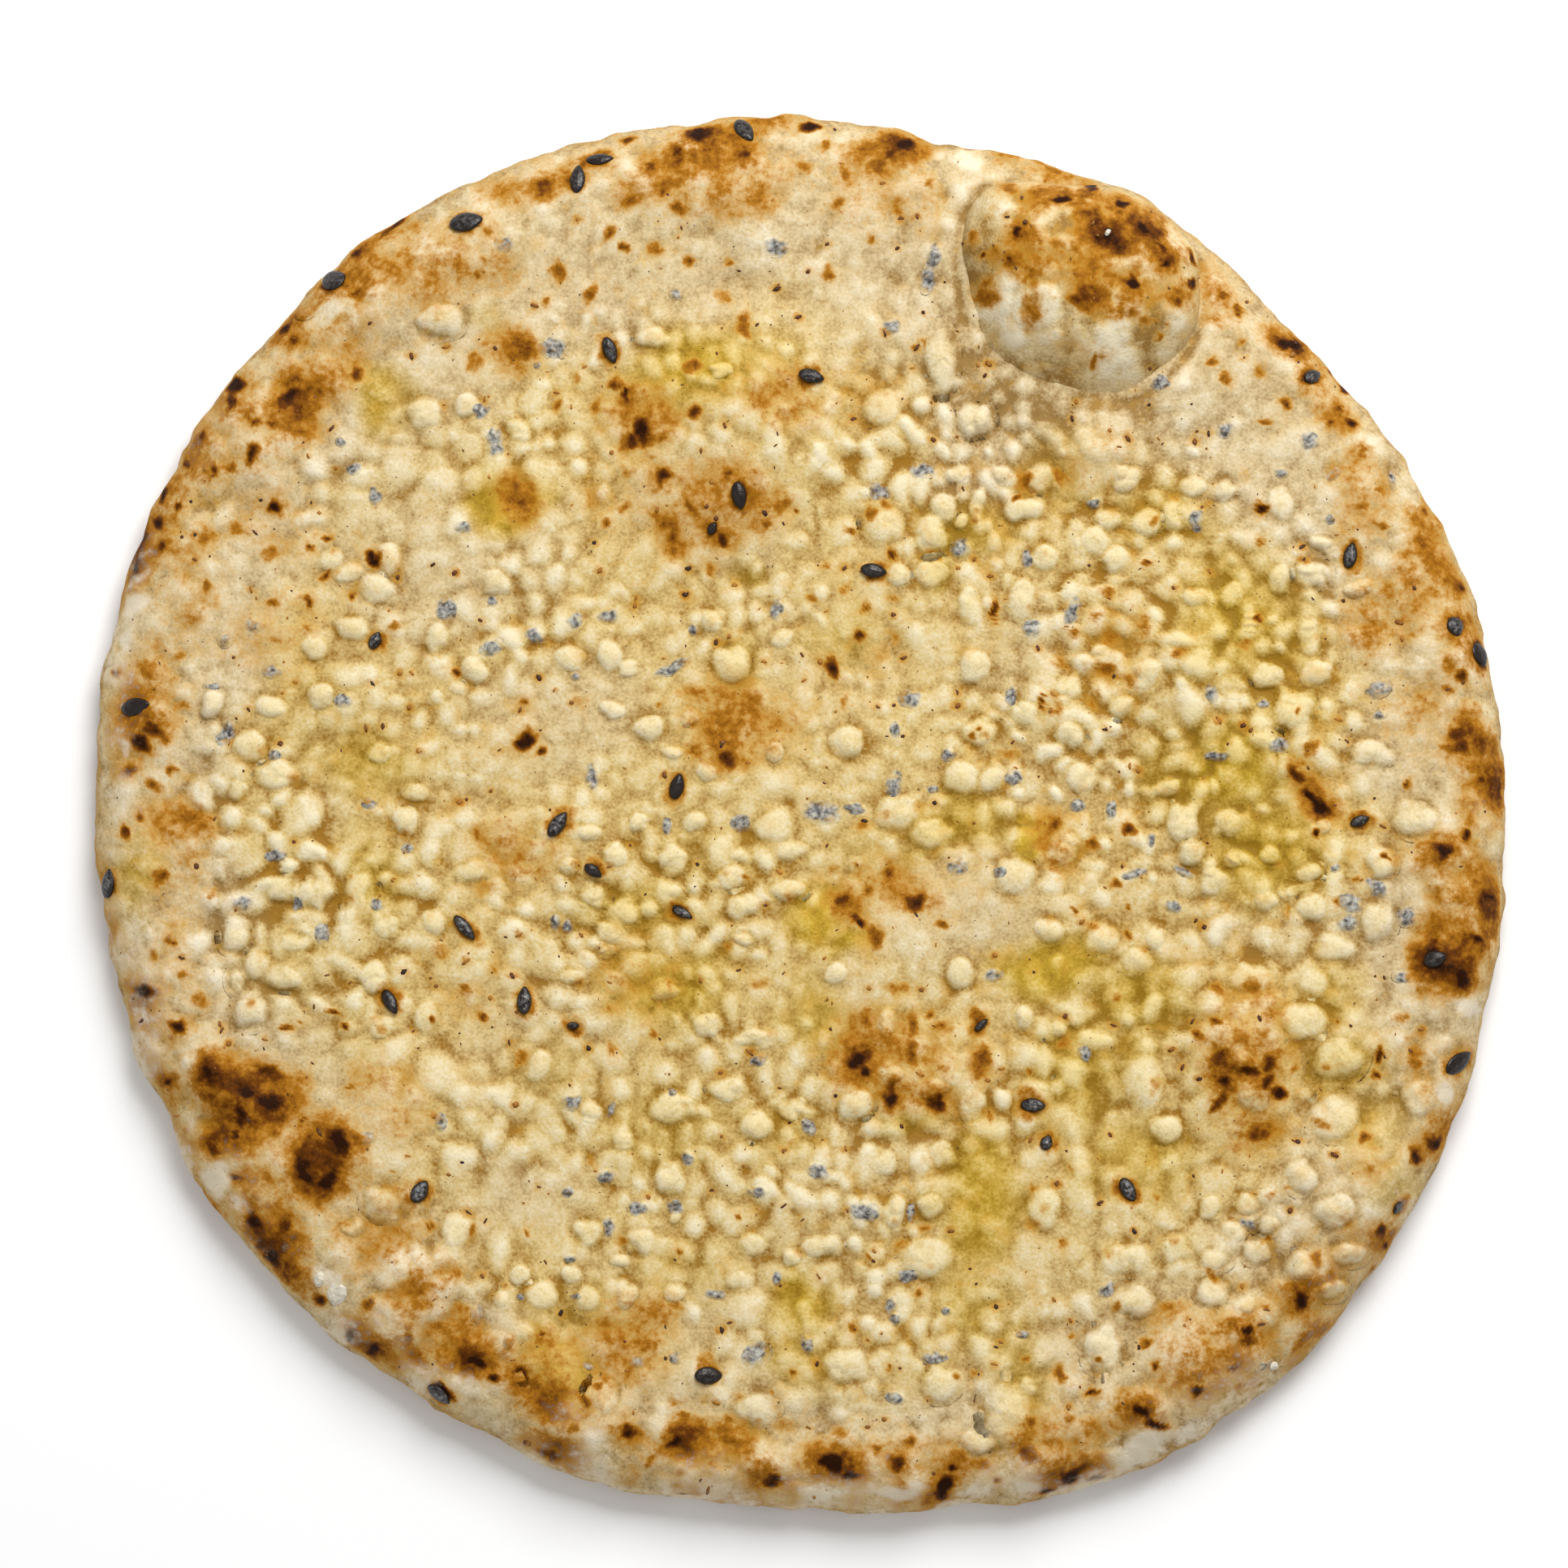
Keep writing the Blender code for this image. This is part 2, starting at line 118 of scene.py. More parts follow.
# Swellings and hollows of the surface: middle x and y, half-lengths, turn, rise.
SWELLINGS = (
    (-9, 49, 18.5, 18, 0, 2.8), (-55, -41, 21, 12, 14, 2), (56, -32.5, 8.5, 12.5, -12, 2.6),
    (68.5, -49, 12, 13, 0, 2), (37.5, 45, 7, 7.5, 0, 2.2), (50, -70, 10.5, 8, 25, 2),
    (-49, -61.5, 10, 8, 35, 2.2), (-28, -77, 9, 6, 0, 1.2), (-70, 46, 10, 8.5, 0, 1.4),
    (-45, 71, 17, 7.5, 35, 1.3), (-13, 80, 13, 7, 5, 1), (21, 82, 6.5, 5, -15, 1.2),
    (64, 57, 10, 4.5, -40, 1), (82, 20, 6, 8, 0, 0.9), (81, -7, 7, 8, 0, 1.2), (81, -22, 8, 6, 0, 1),
    (-74, -35, 9, 5, -45, 1.3), (26.5, -11, 12, 9, 0, 1), (60, 8, 11, 9, 35, 1.2), (-31, -3, 9, 6, 15, 0.9),
    (14, -34, 13, 8, 10, 1), (50, 20, 12, 12, 0, 1), (-44.5, 1, 10, 3, -5, -1), (-15, 27, 13, 3.5, 15, -1),
    (12, 18, 9, 5, -50, -0.8), (39, -38, 5, 16, 0, -0.9), (13, 70, 6, 9, -20, -0.8),
    (-39, -30, 12, 8, 0, -0.5), (8.5, 53, 5, 9, -20, -1.6),
)
# Ripples over all of it: how many, how far out, their half-lengths and the most they rise or sink.
RIPPLE_COUNT = 150
RIPPLE_FIELD = 88.0
RIPPLE_REACH = (5.0, 10.0)
RIPPLE_RISE = 0.8
# The depth that hollows come near to and never reach.
DEEPEST_HOLLOW = 1.2

# The raster that tells hills from hollows: how far it reaches, its step and how often it is
# blurred, and the height from a deep hollow to a high top.
LAND_REACH = 96.0
LAND_STEP = 0.5
LAND_BLUR = 22
HILL_DEPTH = 0.9

# Lumps of the melt: spacing and seed of the coarse, the middling and the fine ones, their height,
# how deep the joints between them lie, the least, usual and most share of all that, and how
# sharply one lump meets the next.
CURD_SIZES = ((4.8, 11), (3.9, 13), (2.9, 17))
LUMP_HEIGHT = 1.75
LUMP_SINK = 0.45
LUMP_SHARES = (0.25, 0.62, 1.25)
CURD_JOINT = 16.0

# The grains: spread and depth of the dips round them, as shares of the grain's size and rise, share
# and power of their domes in the cheese's own mesh and in their patches, rise of a soft grain.
GRAIN_DIPS = (1.5, 0.22)
SOFT_DOME = (1.2, 1.0)
CRISP_DOME = (1.25, 0.82)
SOFT_GRAIN_RISE = 0.8

# The one large bubble: middle x, y, z, height above its middle, and its foot's radius every
# fifteen degrees, which on the near side is wider than the solid's.
BUBBLE = (35.3, 66.6, 7.4, 9.2)
BUBBLE_FOOT = (
    16, 16, 14.9, 14.2, 14, 13.4, 13.1, 13.7, 15.8, 17.3, 16.7, 16,
    15.2, 15.2, 15.5, 15.7, 15.7, 15.8, 16.1, 16.3, 16.5, 16.4, 16.4, 16.3,
)

# The rings of its root, which is sunk into the bread: share of the foot's radius, height.
BUBBLE_ROOT = ((0.99, 5.5), (0.97, 4.0))
# The power of the way out in its profile, and where it rolls off most softly.
BUBBLE_POWER = 2.4
ROLL_SIDE = math.radians(250.0)
# Where the bread runs up to its foot, and where the groove round it lies and how wide that is.
SKIRT_SIDE = math.radians(245.0)
GROOVE_WAY = 1.01
GROOVE_WIDTH = 0.035

# How deep the groove is, as a share, every fifteen degrees.
BUBBLE_GROOVE = (
    0.9, 0.8, 0.5, 0.4, 0.5, 0.5, 0.5, 0.6, 0.7, 0.8, 0.7, 0.6,
    0.8, 0.6, 0.3, 0.25, 0.2, 0.2, 0.25, 0.4, 0.6, 0.8, 1, 1,
)

# Small blisters of the rim: middle x, y, half-lengths, turn, rise.
RIM_BLISTERS = (
    (43.8, -77.3, 4.6, 3.4, -30, 1.3), (56.4, -64.6, 4.2, 3.6, 20, 1.2), (63.5, -60, 5, 4, 35, 1.2),
    (-82, 9.5, 3.6, 4.6, 10, 0.9), (-13.2, 85, 4.2, 2.4, -8, 0.8), (12.6, 84.6, 3.4, 2.4, -20, 0.8),
    (85.5, 18.5, 2.8, 4.4, 25, 0.9), (-74.5, -56, 3.4, 3, -40, 0.8), (31, -84, 4.4, 2.6, 15, 0.9),
    (-4, -83, 4.4, 2.8, -10, 0.8),
)

# Broad browned areas: middle x, y, half-lengths, turn, strength, where one is black.
BROWN_ZONES = (
    (-12, 81, 13, 8, 0, 0.46), (-46, 68, 11, 7, 35, 0.25), (-60, 62, 15, 7, 45, 0.3),
    (-76, 47, 14, 7, 58, 0.32), (-84, 33, 9, 4.5, 68, 0.38), (-78, 25, 8, 7, 0, 0.18),
    (-84, 14, 12, 6, 82, 0.34), (-80, -2, 6.5, 5.5, 0, 0.36), (-79, -12, 5, 7, 0, 0.22),
    (-84, -28, 12, 4.5, -72, 0.34), (-70, -38, 9.5, 8, 0, 0.6), (-61, -45, 7.5, 6.5, 0, 0.56),
    (-68, -51, 8, 6, -45, 0.3), (-66, -57, 8, 3.5, -48, 0.5), (-48.5, -62, 7, 5, 35, 0.36),
    (-42, -69, 7.5, 5, -20, 0.48), (-34, -73, 6, 4, -20, 0.3), (-25, -74.5, 4.5, 4.5, 0, 0.28),
    (-22, -79, 4, 3, 0, 0.3), (-16, -80.5, 4.5, 3, 30, 0.3), (-31, -81.5, 7, 3, -18, 0.38),
    (5, -83, 8, 4.5, -5, 0.5), (18, -83.5, 9, 4.5, 0, 0.32), (28.5, -81, 5, 5, 0, 0.32),
    (34.5, -84, 7, 5, 15, 0.42), (43, -77, 5, 4, -40, 0.45), (50, -70, 8.5, 8, 25, 0.42),
    (57, -66, 4.5, 4.5, 0, 0.3), (62.5, -62, 4.5, 4.5, 0, 0.36), (66, -58, 3.5, 4, 0, 0.3),
    (65, -66.5, 9, 3.5, 42, 0.42), (73, -54.5, 4.5, 3.5, 0, 0.36), (82, -19.5, 6.5, 6.5, 0, 0.55),
    (84.5, -12.5, 5, 4.5, 0, 0.38), (81, -6.5, 6, 5.5, 0, 0.34), (83.5, -32.5, 4.5, 3.5, 40, 0.32),
    (77.5, -32, 3, 4, 0, 0.22), (80, -43, 3.5, 3.5, 0, 0.35), (85, 20, 5, 9, 18, 0.26),
    (75, 25, 7, 7, 0, 0.45), (71.5, 40, 6, 8, 0, 0.32), (64, 58, 8.5, 5, -45, 0.32), (77, 12, 6, 7, 0, 0.22),
    (87, 4, 4, 10, 0, 0.5), (56, -31, 7.5, 11, -12, 0.42), (56.5, -39, 7, 6, 0, 0.3),
    (8, -32, 7.5, 6.5, 0, 0.36), (15, -31, 5, 6.5, 0, 0.22), (14.5, -37, 8, 4, 0, 0.24),
    (22.5, -31, 3, 5, 0, 0.26), (12.5, -11, 8, 5, -10, 0.26), (6, -13.5, 5, 5.5, 0, 0.24),
    (32, -4.5, 4.5, 6, 0, 0.24), (-12, 37.5, 11, 8.5, 0, 0.48), (-10, 10, 8, 7, 0, 0.42),
    (-36, 58, 4.5, 4, 0, 0.38), (-20.5, 49.5, 6.5, 5.5, 0, 0.34), (-35, 39.7, 5, 5, 0, 0.45),
    (40.5, 20, 5, 9, 0, 0.12), (36.5, 44.5, 7, 6, 0, 0.2), (9, 78, 9, 7, 0, 0.18), (28, 82.5, 6, 3, 0, 0.16),
    (66, 2, 5, 5, 0, 0.26), (-78, -20, 6, 6, 0, 0.16), (-43.5, -26, 5, 5, 0, 0.12),
    (47, -65, 6, 3.5, 0, 0.22), (71, -45, 5, 4, 0, 0.16), (28.6, 74.2, 4, 4.6, 40, 0.47),
    (33.5, 77.5, 7, 3, 5, 0.52), (38.6, 72.6, 6.5, 7.5, 0, 0.57), (37.5, 68.4, 6.5, 4, 20, 0.5),
    (44.3, 74.2, 6, 5, -50, 0.45), (26.4, 70.6, 2.6, 2.6, 0, 0.39), (33.2, 69.8, 4.4, 2.2, 25, 0.39),
    (45.8, 69.4, 5.4, 4, -50, 0.41), (46.4, 64.2, 5, 2.8, 0, 0.39), (41.4, 62.2, 5.2, 3.2, 0, 0.31),
    (36, 64, 4.4, 3, -10, 0.52), (29, 63.2, 1.9, 4.4, 0, 0.4), (23.4, 66.4, 2.2, 2.2, 0, 0.4),
    (25.6, 78.5, 2.2, 1.7, 0, 0.36), (33.4, 58.2, 4.6, 2.2, 0, 0.17), (38.5, 57.6, 4.4, 2, 0, 0.17),
    (42, 78.6, 4, 1.4, -15, 0.34), (-3, 52, 8, 7, 0, 0.36), (-38, 68, 7, 6, 0, 0.27), (-68, 38, 8, 8, 0, 0.2),
    (-22, 40, 8, 8, 0, 0.15), (-67, 22, 8, 8, 0, 0.22), (-36, -6, 7.5, 6.5, 0, 0.34),
    (-22, -22, 8, 7, 0, 0.2), (-52, -38, 8, 8, 0, 0.26), (-54, -54, 8, 7, 0, 0.36), (-22, -68, 9, 7, 0, 0.38),
    (-8, -82.5, 8, 5.5, 0, 0.4), (-2.5, 10, 6, 6, 0, 0.24), (34.5, 67.5, 4.5, 4, 0, 0.5),
    (41.5, 69.5, 6.5, 5.5, 0, 0.54), (43.5, 64.5, 5.5, 4, 0, 0.42), (29.5, 70.2, 4.5, 2.6, 0, 0.4),
    (65.2, 1.5, 4.6, 3, -50, 0.55), (31, 83, 8, 3.5, 0, 0.36), (53, 66, 5, 3, -50, 0.3),
    (12, 85, 8, 3.5, 0, 0.52), (-10, 86, 9, 3.5, 0, 0.55), (-33, 80, 9, 3.5, 25, 0.5),
    (-64, 51, 8, 6, 50, 0.5), (-86, 11, 3.5, 8, 0, 0.52), (80, 32, 4, 8, 25, 0.5),
    (68, 51.5, 8, 3, -50, 0.34), (-53, -68, 8, 3.5, -38, 0.46), (-31, -74, 8, 6, -20, 0.42),
    (-11, -80, 8, 5, 0, 0.55), (51, -69, 8, 3, 40, 0.42), (86, -12, 3.5, 7, 0, 0.55),
    (34.5, 69, 8.5, 6.5, 0, 0.5), (38, 75, 9, 5, -15, 0.56), (45, 67, 5, 6, 0, 0.48),
    (31, 75.5, 6, 5, 0, 0.46), (12, 80, 7, 6, 0, 0.26), (49, 63, 3.5, 5, 0, 0.4), (-30, -69, 8, 6, 0, 0.36),
    (80, 10, 5, 8, 0, 0.24), (-52, 69, 8, 3.5, 40, 0.42), (-80, 34, 3.5, 8, 20, 0.38),
    (34, -79, 8, 5, 0, 0.36), (8, 53, 7, 7, 0, 0.2), (20, -8, 8, 6, 0, 0.13),
)

# Long browned or burnt marks: middle x, y, half-lengths, turn, strength. Below nothing is paler.
SMEARS = (
    (52, 67, 1.2, 6, 0, 0.3), (62.3, 59.5, 2.8, 1, -25, 1.15), (70.2, 54.2, 0.9, 0.5, -50, 0.9),
    (54, 65.9, 1, 0.6, 0, 0.7), (56.1, 63.6, 0.9, 0.6, 0, 0.7), (61.5, 51.5, 0.6, 0.9, 0, 0.7),
    (67.7, 48.8, 0.9, 1.2, 0, 0.8), (58.5, 55.6, 0.6, 1, 0, 0.6), (53, 62, 2.5, 1.5, 0, 0.3),
    (0.8, 87.6, 1.3, 1, 0, 1.1), (12.8, 85.5, 1.8, 1.6, 0, 1.05), (11.7, 83.8, 0.8, 0.6, 60, 0.8),
    (10, 82.3, 2.2, 1.5, 0, 0.6), (16.3, 80, 0.6, 1.2, 0, 0.6), (12, 76.5, 1, 0.9, 0, 0.5),
    (4.5, 77, 1.2, 0.8, 0, 0.5), (5.5, 80.5, 0.9, 1.5, 0, 0.6), (31.5, 81.5, 1.2, 1.5, 0, 0.5),
    (21.7, 85.8, 0.7, 0.3, 0, 0.7), (15.5, 59.5, 0.8, 0.3, 0, 0.6), (-13, 86.6, 2.4, 1.2, -8, 1),
    (-16.3, 84, 1.1, 0.5, 0, 0.8), (-5, 78, 0.8, 1.7, 0, 0.55), (-21.7, 77.5, 1.2, 0.9, 0, 0.6),
    (-24.5, 73.4, 1, 0.8, 0, 0.6), (-18.8, 71, 1.2, 1, 0, 0.6), (-9, 69.9, 0.9, 0.5, 0, 0.6),
    (-31.2, 68.3, 1, 1.3, 0, 0.6), (-26.8, 65.8, 1.8, 0.7, 30, 0.6), (-36.3, 58.2, 2.5, 1.8, 0, 0.5),
    (-41.2, 57, 1.2, 2, 0, 0.45), (-43.5, 69, 1.5, 2.5, 0, 0.5), (-7, 61.2, 1.3, 1.6, 0, 0.55),
    (-31, 51.5, 1.2, 0.5, 60, 0.6), (-26, 50.8, 0.8, 1.3, 0, 0.6), (-23.5, 53.5, 2, 1, 0, 0.6),
    (-20, 48, 1.5, 2.5, 10, 0.95), (-13.7, 50, 1.2, 1.6, 0, 0.8), (-59.7, 67.6, 2.3, 1.9, 20, 0.9),
    (-65, 52.2, 2.4, 1.7, 60, 0.95), (-52.5, 75.3, 3, 1, 40, 0.9), (-56.7, 71, 1.3, 0.8, 0, 0.8),
    (-66.5, 61.5, 1.6, 0.7, 45, 0.95), (-64.7, 59.7, 1, 0.8, 0, 0.8), (-72.5, 54, 2, 1.2, 55, 0.95),
    (-69.5, 48.7, 1.3, 0.7, 0, 0.7), (-67, 48.7, 1.5, 0.8, 0, 0.65), (-47, 67, 2.5, 3, 0, 0.4),
    (-60, 63.3, 3, 1.2, 25, -0.5), (-85, 34, 5, 2.5, 68, 0.75), (-82, 36.5, 1.3, 1.1, 0, 1),
    (-81.8, 33.5, 0.7, 1, 0, 0.9), (-84.7, 31.2, 0.7, 1.2, 0, 0.95), (-82, 40.5, 1.5, 0.8, 60, 0.95),
    (-72.7, 43, 0.9, 0.7, 0, 0.7), (-67.2, 38.1, 0.8, 0.6, 0, 1), (-60.6, 34.5, 0.6, 0.3, 0, 0.9),
    (-62.7, 32.3, 0.4, 0.6, 0, 0.8), (-54.5, 31.5, 1.2, 0.7, 0, 1), (-60.8, 29.4, 0.7, 0.5, 0, 0.8),
    (-62.7, 26.4, 0.5, 0.7, 0, 0.8), (-76, 34, 1.6, 1.2, 0, 0.5), (-71.5, 35.3, 1.4, 0.7, 0, 0.5),
    (-67.5, 32.5, 2.5, 1, 0, 0.45), (-75.7, 27.7, 0.7, 0.9, 0, 0.55), (-67.2, 25.9, 1, 0.6, 0, 0.5),
    (-77.5, 23.2, 1, 0.8, 0, 0.5), (-52, 23.3, 1.2, 0.4, 20, 0.6), (-83, 17, 2.5, 3, 0, 0.45),
    (-87.3, 17.2, 1.2, 0.8, 0, 0.7), (-84.3, 7.7, 1.2, 1.6, 0, 1), (-82.3, 9.3, 2, 1.5, 0, 0.75),
    (-85.5, 4.2, 2, 0.8, 0, 0.7), (-79.5, 4.3, 0.9, 0.7, 0, 0.6), (-82.3, 2.3, 1, 0.6, 0, 0.6),
    (-17.3, 42.2, 1.6, 1.2, 0, 0.85), (-10, 34, 1.4, 1, 0, 0.9), (-14, 38, 1.2, 0.5, -45, 0.75),
    (-35, 39.7, 2, 2.5, 0, 0.45), (-35, 8.2, 1.3, 1.5, 0, 0.95), (-9.3, 6, 1.5, 1.7, 0, 0.85),
    (-13.3, 14, 3, 1.5, 0, 0.45), (-10.5, 10.5, 2.5, 1, 0, 0.5), (-3.5, 10.3, 1.2, 1, 0, 0.6),
    (-16, 34.2, 0.5, 1, 0, 0.7), (-4.5, 36, 1, 0.8, 0, 0.6), (-1, 37.7, 0.5, 0.3, 0, 0.7),
    (-2.5, 38.7, 1.5, 1, 0, 0.5), (-22.2, 38.1, 1.2, 0.5, 0, 0.5), (-22.5, 43, 1, 1.2, 0, 0.5),
    (-43.9, 16.9, 0.5, 0.7, 0, 0.7), (-18.2, 13.1, 0.6, 0.4, 0, 0.6), (3.9, 17.7, 1.3, 1.6, 0, 0.95),
    (24.5, 24.6, 0.3, 1.8, 0, 0.8), (30.7, 13.5, 0.3, 2, 0, 0.7), (43.9, 30.6, 0.4, 0.9, 0, 0.8),
    (28.3, 41.6, 1.2, 1.5, 0, 0.5), (33.2, 42, 1, 2, 0, 0.55), (27.6, 39.4, 0.8, 0.3, 0, 0.6),
    (6.2, 35.6, 0.6, 0.4, 0, 0.6), (1.1, 26.3, 0.8, 0.6, 0, 0.55), (6.1, 27.6, 1.2, 0.7, 30, 0.55),
    (8.3, 25, 1, 0.8, 0, 0.5), (5.4, 13.1, 0.8, 1.8, 0, 0.4), (16.6, 31.7, 1.3, 0.7, 0, 0.5),
    (39.3, 27, 1.2, 1, 0, 0.5), (43.4, 23, 1.2, 1.5, 0, 0.5), (38.9, 21.4, 1, 1.5, 0, 0.5),
    (34.8, 21.4, 0.7, 0.9, 0, 0.5), (38.4, 17, 1.5, 1, 0, 0.5), (41.6, 16.1, 1.2, 1.5, 0, 0.5),
    (37.3, 13.5, 0.7, 1.2, 0, 0.5), (32.8, 18.4, 1, 0.8, 0, 0.5), (26.5, 6.2, 1.5, 0.8, 0, 0.4),
    (32.9, 12.2, 0.8, 1.5, 0, 0.45), (84.3, 27.7, 0.6, 0.8, 0, 0.8), (86.6, 19.4, 1.9, 1.2, -65, 1),
    (83.8, 16.4, 1, 0.6, 0, 0.8), (86.6, 3.9, 0.4, 1, 0, 0.8), (88.9, 2.3, 0.8, 2, 0, 0.8),
    (83.3, 9, 2.2, 1.2, 60, 0.85), (83.4, 7.2, 2, 1.2, 0, 0.75), (64.2, 1, 0.4, 1.1, 0, 1.1),
    (62.7, 4.9, 2.2, 0.8, 35, 0.7), (73.6, 36.3, 1.1, 0.8, 0, 0.6), (71.8, 38.5, 0.9, 0.6, 0, 0.6),
    (77.5, 31.9, 0.8, 1.1, 0, 0.5), (80, 26.9, 1.5, 1.2, 0, 0.45), (77.9, 21.7, 1.1, 0.8, 0, 0.5),
    (71.3, 21.7, 1.5, 1.2, 0, 0.4), (78.8, 13, 1.5, 0.9, 0, 0.4), (64.7, 7.4, 1.2, 0.9, 0, 0.5),
    (56.3, 42.4, 0.8, 1.5, 0, 0.35), (58.6, 33.8, 0.8, 0.5, 0, 0.5), (48, 19.4, 1.2, 0.6, 0, 0.5),
    (58.5, 24, 0.7, 0.4, 0, 0.6), (-83.4, -23.3, 2.2, 1.2, -8, 1.15), (-78.7, -28.1, 1.2, 1, 0, 0.95),
    (-74.5, -43, 1.6, 1.1, -45, 0.8), (-75, -34.5, 0.8, 1.8, 0, 1.1), (-70, -36.2, 2.5, 0.8, 0, 1.05),
    (-67, -37.5, 2.2, 1.8, 0, 1), (-71.3, -38.8, 1.2, 2.2, 0, 1), (-71.8, -41.5, 0.6, 1, 0, 0.9),
    (-67.6, -34.5, 3, 1.2, 0, 0.75), (-68, -42.5, 4, 2.5, 0, 0.3), (-59, -43, 2, 2.4, 0, 1.05),
    (-62.6, -47.2, 2.6, 1, -48, 1.15), (-59.7, -47.5, 2.6, 1, 68, 1), (-80, -2, 4, 3, 0, 0.3),
    (-77.5, -6.5, 2.5, 2, 0, 0.35), (-81.6, -9.2, 1.2, 1.6, 0, 0.6), (-85.9, -3.1, 0.3, 1, 0, 0.8),
    (-79.8, -16.9, 0.9, 0.5, 0, 0.6), (-82, -18.7, 0.6, 1, 0, 0.6), (-76, -24.8, 1.5, 1.2, 0, 0.45),
    (-59.3, -26.1, 1, 0.4, 0, 0.8), (-65.4, -28.2, 0.8, 0.3, 0, 0.7), (-56.5, -35.6, 0.6, 1, 0, 0.6),
    (-35.5, -32.2, 0.7, 1, 0, 0.55), (-42.5, -23.3, 1, 0.5, 40, 0.6), (-40.7, -26.6, 0.8, 0.5, 0, 0.6),
    (-40, -10.5, 2.5, 1, 0, 0.35), (-24.6, -26, 0.8, 0.6, 0, 0.45), (-16.7, -20.9, 2.5, 0.8, 0, 0.3),
    (-19.2, -29.2, 1, 0.6, 0, 0.45), (-4.9, -23, 1.5, 1, 0, 0.35), (7.5, -2.5, 1.1, 0.6, 30, 0.5),
    (32.5, -2.3, 2, 1, 10, 0.6), (32.4, -8, 2, 0.9, -40, 0.45), (30.6, -5.5, 0.7, 2, 0, 0.4),
    (42, -3.5, 0.9, 0.9, 0, 0.7), (11.5, -8.5, 1.3, 2, 0, 0.65), (5.5, -12, 1.4, 1.5, 0, 0.7),
    (7, -14, 1.5, 0.9, -35, 0.8), (14.3, -12.3, 2.4, 1.4, -8, 0.85), (9, -17, 1, 2.5, 0, 0.6),
    (4, -7.8, 0.6, 0.8, 0, 0.45), (12, -23.5, 2.2, 1, 0, 0.4), (7.2, -32, 2.2, 1.4, 0, 0.9),
    (7, -32.2, 1.4, 0.8, 35, 1.15), (8.2, -34, 1, 0.5, -60, 1.1), (8.5, -27.5, 1, 2.8, 0, 0.5),
    (11.2, -37, 1, 1.5, 20, 0.95), (13.7, -28, 0.7, 2, 0, 0.65), (14.2, -32, 1.2, 2.5, 10, 0.6),
    (17.5, -28.3, 1.7, 1.3, 0, 0.5), (22.3, -26.5, 1.2, 1, 0, 0.6), (22.7, -32.5, 1.6, 2.2, 0, 0.65),
    (17.5, -33.5, 2, 0.7, 15, 0.45), (17.3, -38.4, 1.8, 1.2, -30, 0.95), (23.7, -39.3, 0.6, 0.9, 0, 0.5),
    (28.5, -36.3, 1.4, 0.8, 0, 0.5), (33, -30.3, 0.9, 0.7, 0, 0.5), (81.3, -6.1, 1.9, 1.3, -12, 1.05),
    (84.1, -3.9, 0.5, 1, 0, 0.95), (80.1, -19.5, 1.6, 1.4, 0, 1.15), (83.9, -22, 1, 1.7, 0, 1.1),
    (86, -17, 1.1, 0.5, 15, 1), (87.2, -11.3, 0.7, 1.3, 0, 0.9), (84.5, -13, 3, 1.6, 15, 0.4),
    (73.2, -31.8, 0.7, 1.2, 0, 0.85), (72.8, -34.4, 0.6, 0.4, 0, 0.75), (77.7, -32.5, 1, 2.2, 0, 0.5),
    (80.2, -42.5, 1.6, 1.2, 10, 0.95), (77.4, -44.5, 0.8, 1.1, 0, 0.95), (71.5, -42, 1, 0.9, 0, 0.55),
    (76, -27.3, 1.5, 0.8, 0, 0.4), (52.8, -23.3, 1, 0.8, 0, 0.55), (56.5, -23.2, 1.6, 1, 20, 0.5),
    (52.5, -27.2, 1.1, 0.6, 0, 0.65), (56, -29.7, 1.1, 0.6, -15, 0.65), (53, -29.3, 4, 2.5, 0, 0.25),
    (53, -32.3, 1.3, 2.2, 0, 0.75), (53.6, -35.6, 1.2, 1.2, 0, 0.9), (52.5, -37.8, 2.6, 0.6, 62, 0.85),
    (58.8, -32.5, 1.1, 1.6, 0, 0.9), (56.6, -34, 2.2, 0.6, 5, 0.85), (60.4, -36, 1.5, 0.9, 0, 1),
    (58.6, -34.8, 1.2, 0.9, 0, 0.85), (58, -41.8, 2.6, 1.6, 5, 0.7), (62.5, -33, 0.5, 2, 0, 0.4),
    (-65.5, -53.7, 1.5, 1.9, 0, 0.8), (-69.2, -53, 1.5, 2.2, 20, 0.95), (-67, -57.6, 1.6, 1.2, -35, 1.05),
    (-68.3, -55.5, 1.2, 1.4, 0, 0.8), (-71.5, -47.3, 0.8, 0.3, 0, 0.8), (-48.6, -61.8, 2.2, 1.4, -10, 0.6),
    (-54.5, -63, 0.9, 1.1, 0, 0.6), (-49.7, -67.5, 0.9, 0.9, 0, 0.6), (-57, -67, 1.3, 1, -40, 0.85),
    (-54, -68.7, 1, 0.9, 0, 0.95), (-45.6, -74.3, 2.2, 0.9, -38, 1.1), (-61.5, -62.9, 1.2, 0.6, -40, 0.8),
    (-45, -68.5, 1.5, 1.3, 0, 0.5), (-41.2, -70.8, 1.7, 0.9, -8, 1.15), (-39, -72, 1, 0.4, 0, 0.85),
    (-35.5, -71.8, 1.4, 1.1, 25, 0.8), (-36.5, -73.5, 2.2, 1.5, 0, 0.35), (-42.7, -63.7, 1.2, 0.9, 0, 0.5),
    (-32.2, -77, 0.8, 1.6, -20, 0.5), (-27.4, -75.5, 0.8, 1.4, 35, 0.6), (-25.8, -74, 1.3, 0.7, 30, 0.55),
    (-22.2, -79.2, 1.1, 0.9, 0, 0.95), (-16, -80.5, 1.9, 0.9, 30, 1), (-18.3, -82.8, 1.2, 0.6, 50, 0.6),
    (-29, -78.7, 1.4, 1.3, 0, 0.45), (-3.8, -85.2, 1.3, 0.8, 0, 0.9), (-32, -82.3, 3, 1.1, -22, 0.75),
